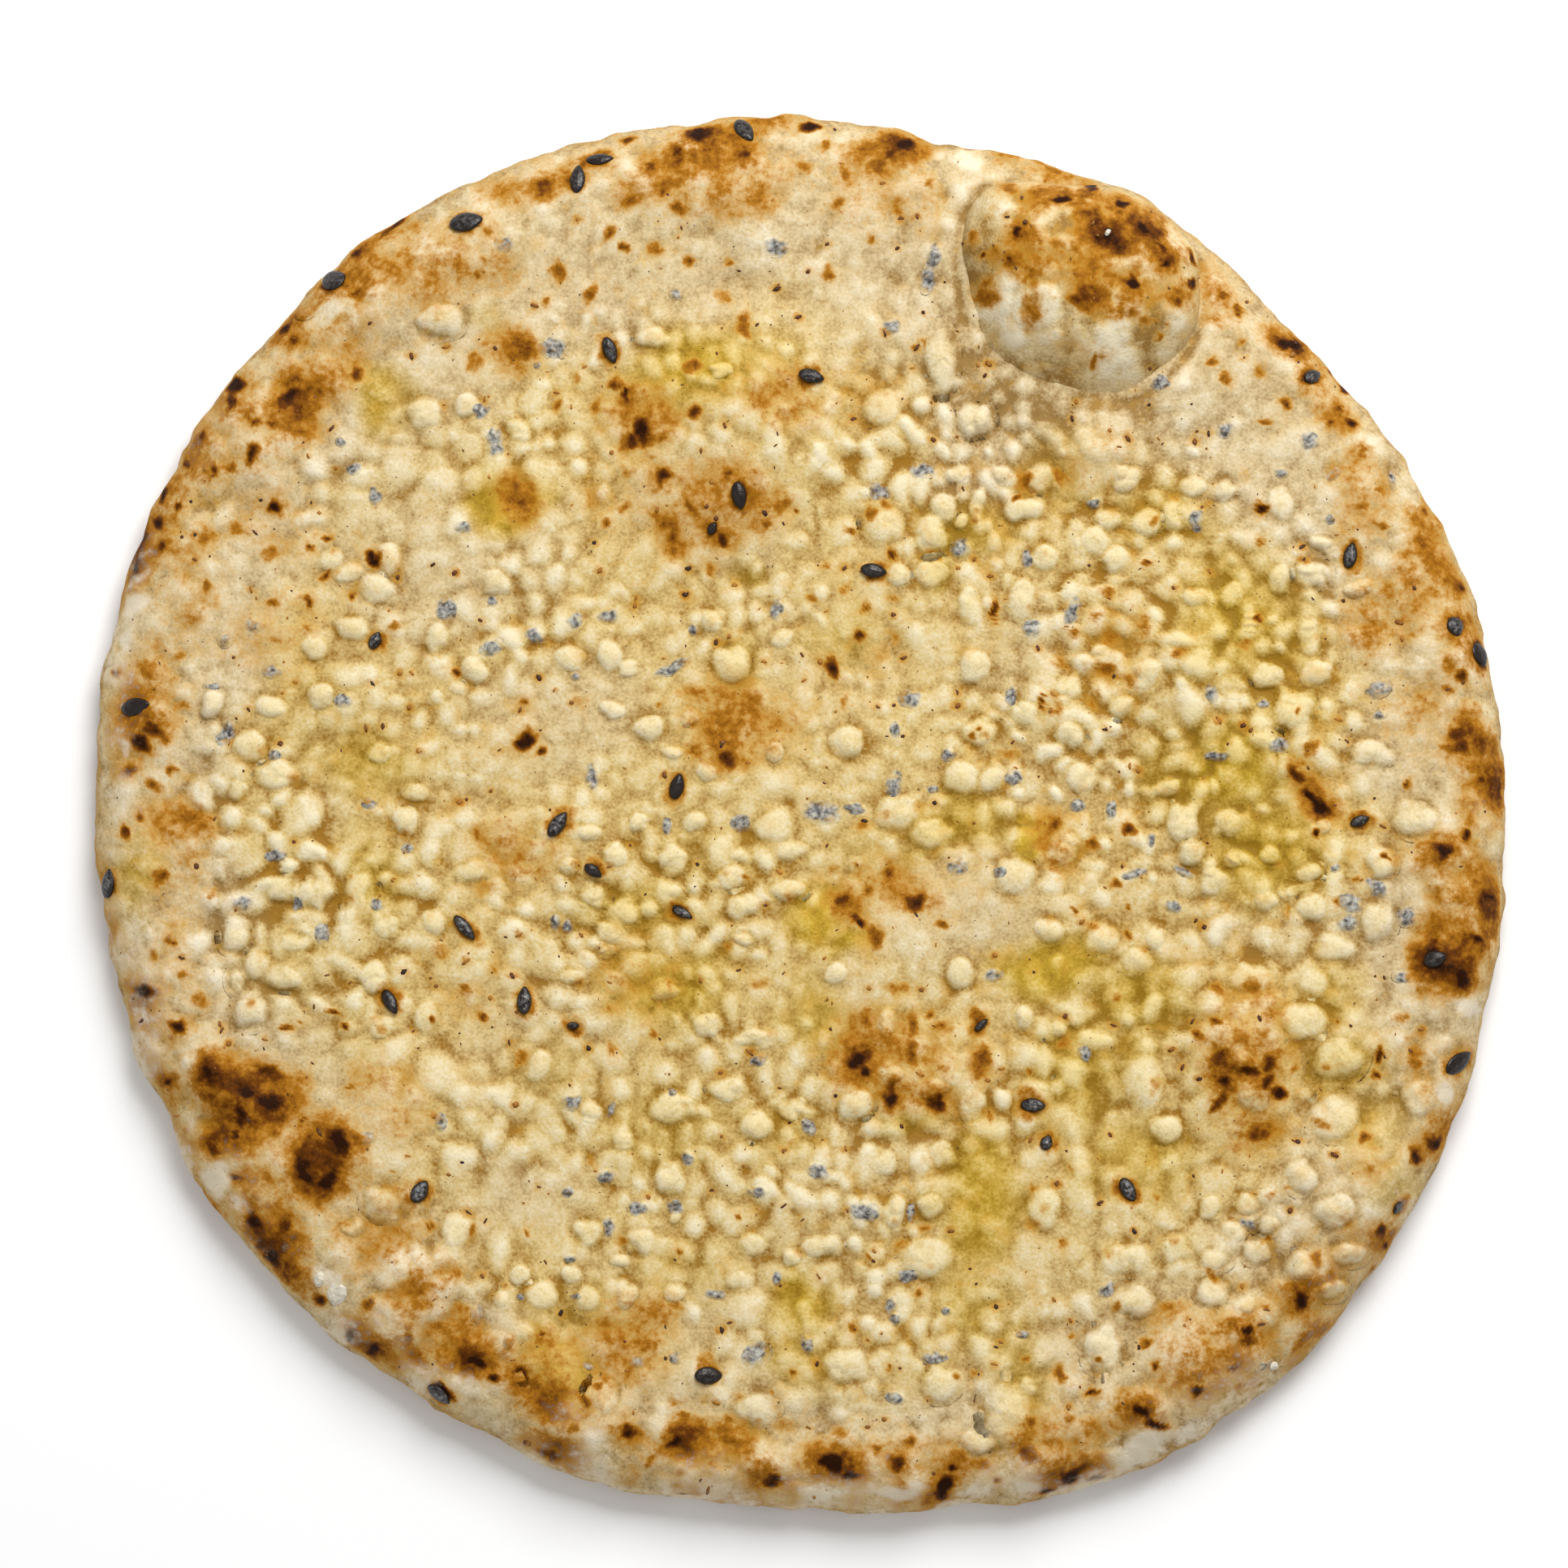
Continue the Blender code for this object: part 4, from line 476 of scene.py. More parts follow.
# Softer grains under the skin of the cheese: middle x, y, half-lengths.
SOFT_GRAINS = (
    (10.5, 36, 3, 2.7), (22.5, 38.1, 1.2, 2.3), (21.4, 25.6, 1.8, 2.5), (28.3, 11.8, 1.8, 2),
    (24.3, 3.6, 1.8, 2.3), (37.8, 19.5, 1.5, 1.3), (35.8, 3.6, 2, 2), (61, 38.5, 1.7, 2.5),
    (54.8, 15.2, 2.4, 1.6), (72.3, 6.6, 3, 1.8), (64.7, 21.7, 1.8, 2.5), (57.2, 23.3, 1.6, 1.2),
    (66.4, 33.5, 1.8, 1.2), (60.8, 28.9, 1.5, 2), (71, 27.9, 1.8, 1.3), (-71.5, 2.3, 1.5, 1.8),
    (-60, 31.5, 2, 1.4), (-62, 20, 2, 1.5), (-57.5, 29.7, 2.2, 1.5), (-49, 1.5, 2.2, 1.4),
    (-53.5, 6.5, 2, 1.5), (-14.2, 11.1, 1.2, 1.2), (-16.3, 6.7, 1.3, 1), (-22, 17.8, 1.7, 1.2),
    (-24, 12.5, 1.6, 1.3), (-2.7, 21.3, 1.6, 1.2), (-69, -20, 1.7, 2.2), (-71.8, -22.3, 1.2, 1.8),
    (-56, -11, 2.2, 4.5), (-52.2, -15.4, 1.8, 1.5), (-64.4, -17.4, 2.5, 1.7), (-52.9, -28.2, 2, 1.3),
    (-47.6, -27, 1.8, 2), (-20.7, -2.3, 1.5, 1.5), (-3.3, -2.6, 3, 2.5), (-1.3, -5.6, 2.3, 1.6),
    (-41.9, -8.5, 2.3, 1.5), (-29.2, -21.7, 1.8, 1.4), (-9.2, -36.1, 2.7, 1.8), (-16.4, -38.4, 3.2, 2),
    (-1.3, -38.4, 1.8, 1.5), (-26.6, -38.6, 1.6, 1.5), (-22.3, -42.7, 1.6, 1.5), (-24.6, -18.9, 1.5, 1.2),
    (-7.2, -16.9, 1.8, 1.2), (-5.9, -29.6, 3, 1.3), (42.5, -19.8, 2.2, 2), (21.7, -38, 1.8, 2.5),
    (17, -36, 2.2, 1.5), (4.5, -21.5, 1.6, 1.5), (10.8, -28, 1.3, 2.5), (12.5, -1, 3, 2.4),
    (16.3, -3.8, 3, 2.2), (43, -35, 2.8, 4), (27, -9, 2.8, 2.6), (33.3, -5.5, 2.4, 2.5), (66, -2.5, 1.5, 1.4),
    (61.5, -10.8, 1.8, 1.3), (52, -9.5, 2, 1.8), (67.5, -18, 3, 2), (65, -22.5, 2.2, 2), (57, -21.8, 3, 2),
    (57.2, -36.8, 2.2, 2.2), (67.5, -39.5, 3.4, 3), (68, -32, 3.4, 3), (78, -1.5, 3, 2.6),
    (-56.5, -53.5, 1.6, 1.5), (-53, -50.5, 2.5, 2.2), (-27, -54, 2, 2), (-16.5, -47.5, 2, 2.4),
    (-20.5, -55, 2, 2), (-16, -61.5, 1.5, 1.4), (-6, -55.5, 2, 1.5), (-8, -60, 2, 1.5), (-6, -76.5, 3, 2),
    (16, -57.3, 3.4, 2.6), (30.7, -51, 2.2, 3), (2.5, -56, 2.8, 1.7), (41, -57.5, 3.4, 2.1),
    (42, -62.8, 3, 2), (5.5, -71, 3, 2.5), (17.5, -73, 2.5, 2.5), (28.5, -73.5, 1.6, 1.5),
    (38, -69, 2.4, 3.4), (22.5, -80.3, 2.4, 1.5), (10.5, -45, 1.8, 1.8), (47.5, -56, 2.5, 2),
    (54.5, -54, 1.6, 1.3), (-48, 50, 2.6, 2.4), (-36, 48, 2, 1.8), (-25.4, -74.6, 2.6, 2.6),
    (-31, -71.5, 4.4, 3.8), (26, -77, 3.4, 4.4), (78, -37, 2.6, 2.6), (-16, -52.5, 0.9, 0.9),
    (-38, -62.5, 1.6, 1.6),
)

# Where more grains lie thick: middle x, y, half-lengths, weight.
GRAIN_FIELDS = (
    (42, 12, 30, 34, 1), (-68, -6, 14, 24, 0.8), (-15, -13, 24, 12, 1), (-38, -62, 18, 9, 0.8),
    (-38, 26, 20, 14, 0.7), (20, 45, 20, 14, 0.9), (5, -40, 24, 14, 0.6), (45, -52, 14, 12, 0.6),
    (10, -66, 24, 9, 0.4), (60, -8, 16, 14, 0.9), (36, -30, 16, 18, 0.6), (-50, 15, 16, 14, 0.6),
    (-30, -44, 18, 8, 0.4), (58, -55, 12, 10, 0.8),
)

# Sesame seeds that lie bare: middle x, y, half-length, half-width, turn.
BARE_SEEDS = (
    (1.3, 54.7, 1.7, 0.95, -15), (-24.4, 58.2, 1.8, 0.9, -70), (-7.9, 39.4, 1.8, 1, -80),
    (-11.3, 35.3, 0.9, 0.6, 60), (9.2, 29.9, 1.7, 0.95, -8), (-30.9, -2.5, 1.9, 0.95, 55),
    (-26.4, -8.4, 1.3, 0.75, -35), (-35.1, -24.8, 1.8, 0.95, 88), (-15.2, -13.6, 1.6, 0.65, -30),
    (-15.8, 2.4, 1.7, 0.95, 75), (-52.1, -25, 1.8, 0.85, -62), (-11.7, -72.2, 1.8, 1.15, 0),
    (29.3, -38.1, 1.6, 0.9, -3), (31, -42.8, 1, 0.8, 65), (41.3, -48.8, 1.7, 0.95, -62),
    (-48.2, -49, 1.6, 1.05, 58), (22.8, -27.9, 1.1, 0.5, 42), (70.9, -2, 1.3, 0.7, 20),
    (-42.7, -15.6, 2, 0.8, -50), (-28.9, -28, 0.8, 0.5, 0), (69.9, 31.9, 1.7, 0.9, 78),
    (-54.2, 21, 1.2, 0.8, 65), (-42.8, 74.7, 2.2, 1.3, 10), (-28.6, 80.4, 1.9, 1, 86),
    (-25.8, 83.1, 1.8, 0.8, 4), (-7.3, 87, 1.8, 1.1, -55), (-59.8, 67.6, 1.6, 1.4, 20),
    (83.4, -32.6, 2.1, 1.1, 40), (-84.7, 12.6, 1.9, 1.2, 10), (-88.2, -9.8, 1.9, 0.9, 84),
    (80.2, -19.6, 1.5, 1.1, 20), (75.5, -51, 0.9, 0.5, 60), (-45.8, -74.6, 1.8, 0.8, -40),
    (83.2, 22.8, 1.3, 1.1, -70), (86.5, 19.4, 1.6, 1, -65), (65.3, 55, 1.2, 0.9, 30),
)

# Seeds under a thin film of cheese: middle x, y, half-lengths, turn.
VEILED_SEEDS = (
    (54, 48, 1, 0.9, 0), (64.7, 46.6, 1.3, 1.1, 0), (46, 54, 1.3, 1, 0), (17, 70.5, 1.6, 0.9, 75),
    (16.2, 67.3, 1.6, 0.9, 75), (11.5, 61.2, 1.1, 0.9, 0), (-31.5, 58.5, 1.8, 1.2, 0),
    (-38, 71.8, 1.2, 1.1, 0), (-3.2, 71.4, 1.4, 1.1, 0), (-16, 65.4, 0.7, 0.6, 0), (-41, 50.5, 1.1, 1, 0),
    (-39, 46.5, 1.6, 1, 90), (-33.7, 56.3, 0.5, 0.5, 0), (-58.6, 46.5, 0.6, 0.6, 0), (-57, 43, 0.9, 0.8, 0),
    (-54.3, 39.6, 1.2, 0.8, 90), (-69.5, 22.9, 1.1, 0.8, 0), (-73.3, 21, 0.8, 0.8, 0),
    (-74.8, 15.1, 1, 0.5, 0), (-67.3, 17, 1.2, 0.8, 0), (-58.2, 13.3, 1.2, 0.8, 0), (-66.9, 6.3, 0.8, 0.7, 0),
    (-73, 9.3, 1.6, 1.1, 60), (-45.2, 25, 1.4, 1.2, 90), (-39.4, 20.2, 1.5, 1, 30), (-39.3, 26, 0.6, 0.6, 0),
    (-24.5, 24.2, 1.3, 1, 0), (-28.8, 23.6, 1, 0.9, 0), (-3.3, 25, 1.2, 0.9, 90), (-13.8, 22.4, 0.7, 0.5, 90),
    (-16.5, 17.5, 2.4, 0.7, 25), (-28.7, 16.5, 0.7, 0.6, 0), (-26.6, 3.5, 1.6, 0.9, 90),
    (-39, 45.5, 1, 0.9, 0), (-43, 35.5, 1.1, 0.7, 0), (-34, 21.5, 1.2, 1, 0), (9.9, 40.1, 1.3, 1.1, 0),
    (15.6, 42.8, 1.6, 0.9, 0), (20.4, 32.9, 1.3, 1.1, 0), (28.8, 31.3, 1.2, 0.8, 90),
    (34.5, 24.8, 1.7, 0.9, 70), (29.3, 22.6, 1.2, 1.1, 0), (13.8, 13.6, 1.3, 1.1, 0),
    (26.7, 13.8, 1.3, 0.7, 90), (11.8, 2.5, 1.7, 1, 80), (26.9, 3.5, 1.2, 0.9, 0), (16.8, 2.1, 0.7, 0.6, 0),
    (18.7, 6.3, 0.9, 0.8, 0), (12, 9.7, 0.9, 0.7, 90), (37.2, 38.5, 0.8, 0.7, 0), (2.6, -0.9, 2.3, 1.5, 0),
    (6.8, -0.4, 1.3, 0.7, 0), (50.4, 36.5, 1.4, 0.9, 90), (61.4, 42.5, 0.9, 0.6, 0), (67.8, 42.3, 1, 0.7, 45),
    (75.4, 41.8, 1.6, 0.5, 90), (67.3, 36.5, 0.6, 0.6, 0), (73.3, 14.8, 1.5, 1, 20),
    (73.4, 11.5, 0.8, 0.5, 0), (52.1, 14.2, 1.1, 0.8, 90), (60.6, 7.6, 1.2, 1, 0), (52.7, 6.2, 1.4, 0.6, 0),
    (58.6, 12.8, 0.8, 0.5, 0), (-66.6, -6.5, 1.3, 0.7, 0), (-70.9, -12.4, 1.4, 0.9, 0),
    (-63.9, -12.5, 1.1, 0.6, 90), (-53.9, -12.6, 1, 0.8, 0), (-60.7, -16.4, 1.3, 0.9, 90),
    (-50, -5.5, 0.7, 0.6, 0), (-54.8, 0.3, 1, 0.7, 0), (-45.6, -40.2, 1, 0.7, 90), (-55, -42.3, 1.4, 0.8, 0),
    (-31.2, -14.9, 0.9, 0.6, 90), (-29.7, -15.5, 0.9, 0.6, 90), (-17.1, -2.6, 1, 0.6, 90),
    (-7.7, -2.3, 1.2, 1, 0), (-5.4, -32.4, 1, 0.7, 20), (-16.3, -36.5, 0.6, 0.6, 0),
    (-24, -38.6, 1.1, 0.5, 65), (-29, -37.8, 1.3, 1, 0), (-14.4, -44.8, 0.9, 0.8, 0),
    (19.8, -7.8, 1.2, 1.1, 0), (25.2, -8.6, 1, 0.8, 30), (35, 0, 1, 0.7, 0), (39.4, -0.5, 1.2, 0.7, 80),
    (44.4, -4.3, 0.9, 0.5, 90), (42.3, -8.7, 1.5, 0.6, 15), (24.4, -21.6, 1.2, 0.8, 0),
    (35.9, -31.5, 1, 0.8, 90), (0.9, -40.8, 1.1, 0.8, -65), (67.8, -8, 0.7, 0.5, 30),
    (73, -10.5, 1.6, 0.9, -40), (48.6, -8.5, 1.4, 0.6, -25), (47, -12.8, 1.1, 0.8, -20),
    (69.6, -12.5, 1.6, 1, -20), (69.4, -15, 1.6, 0.9, 20), (76.8, -14.2, 1.3, 1.1, 0),
    (76.2, -21.8, 1.1, 0.7, 0), (-24.8, -47, 1, 0.9, -30), (-29.5, -49, 0.8, 0.6, 30),
    (-20.7, -51, 1.1, 0.9, 0), (-16, -51, 1, 0.9, -60), (-24.4, -53.5, 1.1, 0.8, 90),
    (-5.5, -49, 1.2, 0.7, 0), (-29.2, -57.5, 0.8, 0.5, 15), (-28.3, -62.2, 0.7, 0.5, 0),
    (-35.5, -62.2, 0.5, 0.5, 0), (-10.8, -62, 1.4, 0.6, -10), (-3.1, -60, 0.8, 0.5, 90),
    (-5.6, -69.6, 1.8, 1.4, 30), (-15.9, -70, 0.8, 0.7, -40), (-20.7, -70.4, 1.1, 0.8, 0),
    (-27, -71, 0.8, 0.5, -30), (-41, -64.7, 1.2, 0.6, 85), (0.8, -68.4, 1.3, 0.7, -70),
    (2, -46.4, 1.3, 0.9, -30), (8, -51.5, 1.8, 1.1, 0), (13.8, -51.5, 1.1, 0.6, 80),
    (13.5, -59.6, 1.5, 0.8, 10), (11.3, -63.5, 1, 0.7, 80), (11.7, -65, 0.9, 0.6, -70),
    (18.3, -64, 0.7, 0.6, 0), (16.8, -70, 1.5, 0.8, 5), (11.9, -75, 1.2, 0.7, -10),
    (38.6, -61.4, 1.1, 0.9, 30), (28, -67, 0.9, 0.5, 0), (56.3, -53, 1.1, 0.8, 0), (-37, -68, 0.8, 0.5, 80),
    (-63.5, 63.2, 1, 0.7, 0), (58.5, -71, 1, 0.4, 30),
)

# How far marks, their halos and the rings round bare seeds spread: times as far, and that much
# more. The halos have a share of the marks' strength, and the rings a strength of their own.
MARK_SPREAD = (1.12, 0.3)
HALO_SPREAD = (1.9, 0.5, 0.55)
RING_SPREAD = (1.0, 1.2)
RING_STRENGTH = 0.62

# Shares of the radius over which the outer edge is toasted, and floured all round but on one side.
TOASTED_WIDTH = 0.16
FILM_WIDTH = 0.12
CLEAN_SIDE = 65.0

# Bran flecks: how far out they lie, the least radius and how much more it can be, and the least
# radius of a fleck with a browned dot round it.
FLECK_FIELD = 89.0
FLECK_SIZES = (0.11, 0.34)
DOTTED_FLECK = 0.16

# Salt flakes: middle x, y, half-length, half-width, turn.
SALT_FLAKES = (
    (-58.6, -61.9, 1.7, 1.5, 30), (-61, -60, 1.1, 0.7, 70), (59.7, -71, 0.7, 0.6, 0),
    (38.9, 72.4, 0.55, 0.35, 60),
)

# The finishes: where the food's deep, level and high tones lie, from painted shade to painted light,
# how that painted shade and light darken the oil's colour in the hollows and pale it on the tops,
# the seeds' colours under the cheese and in the painted highlight on their tops, and the roughness
# of cheese, dough, oil, browned skin and flour.
TONES = (0.08, 0.46, 0.84)
OIL_DARK = (0.55, 0.48, 0.32)
OIL_PALE = (1.45, 1.62, 2.4)
SEED_MOTTLE = ((0.03, 0.03, 0.035), (0.13, 0.14, 0.15), (0.50, 0.49, 0.43))
SEED_HIGHLIGHT = ((0.10, 0.10, 0.105), (0.34, 0.34, 0.33), (0.7, 0.68, 0.62))
ROUGHNESSES = (0.46, 0.70, 0.32, 0.6, 0.95)

# The stage, in metres and watts: the floor, the even light all round, each lamp's name, place, size
# and power, and the camera's distance, steepness, aim and the width that it sees there.
FLOOR_REACH = 3.0
FLOOR_DROP = 1e-5
SKY_STRENGTH = 0.48
LAMPS = (("key", (0.20, 0.54, 0.66), 0.50, 8.0), ("fill", (-0.6, -0.4, 0.8), 1.0, 1.0))
CAMERA_AWAY = 0.95
CAMERA_TILT = math.radians(85.5)
CAMERA_TARGET = (-0.0022, 0.0031, 0.004)
VIEW_WIDTH = 0.2002


def srgb(red, green, blue):
    """A colour as the eye names it, 0 to 255, turned into linear light."""
    parts = np.array([red, green, blue]) / 255.0
    light = np.where(parts > 0.04045, ((parts + 0.055) / 1.055) ** 2.4, parts / 12.92)
    return tuple(float(part) for part in light)


def length(label, description, default):
    """A length property, in metres."""
    return bpy.props.FloatProperty(
        name=label, description=description, default=default, min=0.0, unit="LENGTH", precision=5
    )


def colour(label, description, default):
    """A colour property, in linear light."""
    return bpy.props.FloatVectorProperty(
        name=label, description=description, default=default, size=3, min=0.0, max=1.0, subtype="COLOR"
    )


class PizzaSizes(bpy.types.PropertyGroup):
    """Sizes and amounts that a user may change."""

    cheese_height: length("Cheese height", "Height of the level cheese above the base", CHEESE_HEIGHT * MM)
    bubble_rise: length("Bubble rise", "Height of the large bubble above its foot", BUBBLE[3] * MM)
    grain_rise: length("Grain rise", "Height of a curd grain 2 mm in radius above the cheese", 0.00105)
    seed_thickness: length("Seed thickness", "Thickness of a sesame seed", 0.00115)
    dough_roughness: length("Dough roughness", "Depth of the crust's small unevenness", 0.0003)
    fleck_count: bpy.props.IntProperty(
        name="Bran flecks", description="How many flecks of bran lie in the surface", default=1500, min=0
    )


class PizzaColours(bpy.types.PropertyGroup):
    """Colours of the food, in linear light. Crease and hollow hold painted shade, curd and crumb painted
    light.
    """

    crease_shade: colour("Crease", "Tan of the cheese's creases", srgb(146, 104, 32))
    cheese: colour("Cheese", "Cream of the melted cheese", srgb(203, 177, 116))
    curd: colour("Curd", "Pale cream of the cheese's lumps", srgb(224, 212, 177))
    hollow: colour("Hollow", "Brown grey of the dough's hollows", srgb(146, 114, 64))
    dough: colour("Dough", "Grey beige of the bare dough", srgb(199, 178, 136))
    crumb: colour("Crumb", "Pale beige of the dough's bumps", srgb(225, 214, 187))
    oil: colour("Oil", "Yellow of the soaked-in oil", srgb(182, 148, 48))
    golden: colour("Golden", "First colour of the browning", srgb(203, 154, 58))
    orange: colour("Orange", "Second colour of the browning", srgb(164, 107, 22))
    brown: colour("Brown", "Third colour of the browning", srgb(98, 52, 4))
    char: colour("Char", "Colour of the burnt spots", srgb(40, 16, 2))
    flour: colour("Flour", "White of the loose flour", srgb(222, 210, 186))
    veil: colour("Veiled seed", "Grey of a seed under a film of cheese", srgb(150, 150, 146))
    sesame: colour("Sesame", "Black of a bare seed", srgb(26, 17, 13))


def held(values):
    """Numbers kept from nothing to one."""
    return np.clip(values, 0.0, 1.0)


def angle_of(x, y):
    """Angle of a place round the food's middle, in degrees."""
    return np.degrees(np.arctan2(y, x))


def turned(along, across, angle):
    """Steps along and across a shape that is turned by an angle, as steps along X and Y."""
    return along * np.cos(angle) - across * np.sin(angle), along * np.sin(angle) + across * np.cos(angle)


def radius_at(radii, angle):
    """Radius at an angle, on a smooth closed curve (Catmull-Rom) through radii at even steps."""
    values = np.asarray(radii)
    count = len(values)
    place = np.asarray(angle) % 360.0 / 360.0 * count
    first = np.floor(place).astype(int)
    t = place - first
    before, here, after, beyond = (values[(first + k) % count] for k in (-1, 0, 1, 2))
    straight = after - before
    bend = 2 * before - 5 * here + 4 * after - beyond
    twist = beyond - before + 3 * (here - after)
    return 0.5 * (2 * here + straight * t + bend * t**2 + twist * t**3)


def oval(x, y, middle_x, middle_y, half_x, half_y, turn=0.0):
    """Squared distance from an oval's middle, counted in its own turned half-lengths."""
    angle = math.radians(turn)
    along = (x - middle_x) * math.cos(angle) + (y - middle_y) * math.sin(angle)
    across = (y - middle_y) * math.cos(angle) - (x - middle_x) * math.sin(angle)
    return (along / half_x) ** 2 + (across / half_y) ** 2


def hills(x, y, rows, power=1.5, combine=np.add):
    """Ovals of the given rise laid on a level field: each is rise times (1 - squared distance) to
    a power inside its oval, and they are added, or the larger is kept."""
    u, v = np.ravel(x), np.ravel(y)
    field = np.zeros(u.shape)
    order = np.argsort(u)
    sorted_u = u[order]
    for middle_x, middle_y, half_x, half_y, turn, rise in rows:
        reach = max(half_x, half_y)
        low, high = np.searchsorted(sorted_u, (middle_x - reach, middle_x + reach))
        near = order[low:high]
        near = near[np.abs(v[near] - middle_y) < reach]
        inside = held(1.0 - oval(u[near], v[near], middle_x, middle_y, half_x, half_y, turn))
        field[near] = combine(field[near], rise * inside**power)
    return field.reshape(np.shape(x))


def noise(x, y, size, seed):
    """Smooth noise from -1 to 1: random values on a square lattice of that spacing, turned by an
    angle of its own, with a smooth step from each value to the next."""
    table = np.random.default_rng(seed).uniform(-1.0, 1.0, (256, 256))
    x, y = np.asarray(x) / size, np.asarray(y) / size
    u = x * math.cos(seed) - y * math.sin(seed) + 91.7
    v = x * math.sin(seed) + y * math.cos(seed) + 37.3
    i, j = np.floor(u).astype(int), np.floor(v).astype(int)
    s, t = ((k - cell) ** 2 * (3.0 - 2.0 * (k - cell)) for k, cell in ((u, i), (v, j)))
    i, j, right, up = i % 256, j % 256, (i + 1) % 256, (j + 1) % 256
    low = table[i, j] * (1 - s) + table[right, j] * s
    high = table[i, up] * (1 - s) + table[right, up] * s
    return low * (1 - t) + high * t


def rough(x, y, size, seed, octaves=3):
    """Noise at a size, and at half the size and half the height again for each further octave.
    Every use has a seed of its own."""
    return sum(noise(x, y, size / 2**k, seed + k) / 2**k for k in range(octaves))


def stirred(x, y, amount, size, seed):
    """The same places moved about by noise, so that what is laid there has uneven edges."""
    return x + amount * rough(x, y, size, seed, 2), y + amount * rough(x, y, size, seed + 7, 2)


def ripple_field():
    """Seeded small hills and hollows that make the whole surface uneven."""
    draw = np.random.default_rng(SEED)
    distance = RIPPLE_FIELD * np.sqrt(draw.random(RIPPLE_COUNT))
    angle = 2 * math.pi * draw.random(RIPPLE_COUNT)
    half = draw.uniform(*RIPPLE_REACH, (2, RIPPLE_COUNT))
    turn = draw.uniform(0.0, 180.0, RIPPLE_COUNT)
    rise = draw.uniform(-RIPPLE_RISE, RIPPLE_RISE, RIPPLE_COUNT)
    return tuple(zip(distance * np.cos(angle), distance * np.sin(angle), *half, turn, rise))


RIPPLES = ripple_field()


def relief(x, y):
    """Height of the swellings, the hollows and the ripples at a place, with deep hollows eased."""
    height = hills(x, y, SWELLINGS + RIPPLES)
    hollow = np.minimum(height, 0.0)
    return np.maximum(height, 0.0) + hollow / (1.0 - hollow / DEEPEST_HOLLOW)


def grain_rows(spread, share):
    """All the grains as ovals: spread wider, and with that share of their rises. A grain rises as
    the square root of its smaller half-length."""
    rise = bpy.context.scene.pizza_sizes.grain_rise / MM * share
    rows = [(*grain, 1.0) for grain in CRISP_GRAINS] + [(*grain, SOFT_GRAIN_RISE) for grain in SOFT_GRAINS]
    return [
        (x, y, a * spread, b * spread, 0.0, k * rise * math.sqrt(min(a, b) / 2.0)) for x, y, a, b, k in rows
    ]


def curds(x, y, size, seed):
    """Rounded lumps packed side by side: on a lattice of that spacing each square has one dome,
    whose place, radius and rise are drawn by chance, and the domes are joined by a soft maximum."""
    across, along, reach, rise = np.random.default_rng(seed).random((4, 128, 128))
    u, v = np.asarray(x) / size + 57.3, np.asarray(y) / size + 61.9
    i, j = np.floor(u).astype(int), np.floor(v).astype(int)
    total = 0.0
    for p in (-1, 0, 1):
        for q in (-1, 0, 1):
            cell = ((i + p) % 128, (j + q) % 128)
            du = u - (i + p) - 0.1 - 0.8 * across[cell]
            dv = v - (j + q) - 0.1 - 0.8 * along[cell]
            inside = held(1.0 - (du**2 + dv**2) / (0.40 + 0.38 * reach[cell]) ** 2)
            total = total + np.exp(CURD_JOINT * inside * (0.5 + 0.5 * rise[cell]))
    return np.log(total / 9.0) / CURD_JOINT


def edge_way(x, y):
    """How far a place is from the cheese's edge, as a share of the way to the outer edge."""
    angle = angle_of(x, y)
    inner = radius_at(CHEESE_EDGE, angle)
    return (np.hypot(x, y) - inner) / (radius_at(OUTLINE, angle) - inner)


def lumps(x, y):
    """Height of the melt's packed curds: large lumps in some places and crumbs in others, thick
    where the fields of grains are and nearly flat where the dough lies bare."""
    u, v = stirred(x, y, *LUMP_STIR)
    thick = hills(x, y, [(*field[:4], 0.0, field[4]) for field in GRAIN_FIELDS], 0.9, np.maximum)
    plain = hills(x, y, BARE_DOUGH, 0.9, np.maximum)
    least, usual, most = LUMP_SHARES
    share = np.clip(usual + 0.5 * thick - 0.6 * plain + 0.3 * noise(x, y, 14.0, 19), least, most)
    large = held(0.6 + 1.2 * noise(x, y, 15.0, 27))
    coarse, middling, fine = (curds(u, v, size, seed) for size, seed in CURD_SIZES)
    packed = large * np.maximum(coarse, 0.85 * middling)
    packed = packed + (1.0 - 0.6 * large) * 0.6 * fine
    return share * (LUMP_HEIGHT * packed - LUMP_SINK) + 0.08 * rough(x, y, 3.0, 21, 2)


def unevenness(x, y, crisp=False):
    """Height of all that is laid on the level of bread and cheese: the relief, the lumps, the
    grains with a shallow dip round each, the soft foot and the groove of the bubble, and the rim's
    blisters and fine unevenness. The grains are higher and squarer where they are drawn crisp."""
    dough = held(edge_way(x, y) * 3.0 + 0.5)
    depth = bpy.context.scene.pizza_sizes.dough_roughness / MM
    u, v = stirred(x, y, *GRAIN_STIR)
    dips = hills(u, v, grain_rows(*GRAIN_DIPS), 1.0, np.maximum)
    packed = lumps(x, y)
    height = relief(x, y) + (1.0 - 0.45 * dough) * packed + hills(x, y, RIM_BLISTERS, 1.0)
    share, power = CRISP_DOME if crisp else SOFT_DOME
    domes = hills(u, v, grain_rows(1.0, share), power, np.maximum)
    height += np.maximum(domes - dips - np.maximum(packed, 0.0), -dips)
    height += 0.5 * bubble_skirt(x, y) - 0.5 * bubble_groove(x, y)
    return height + dough * depth * (rough(x, y, 4.5, 23) + 0.35 * rough(x, y, 1.3, 29))


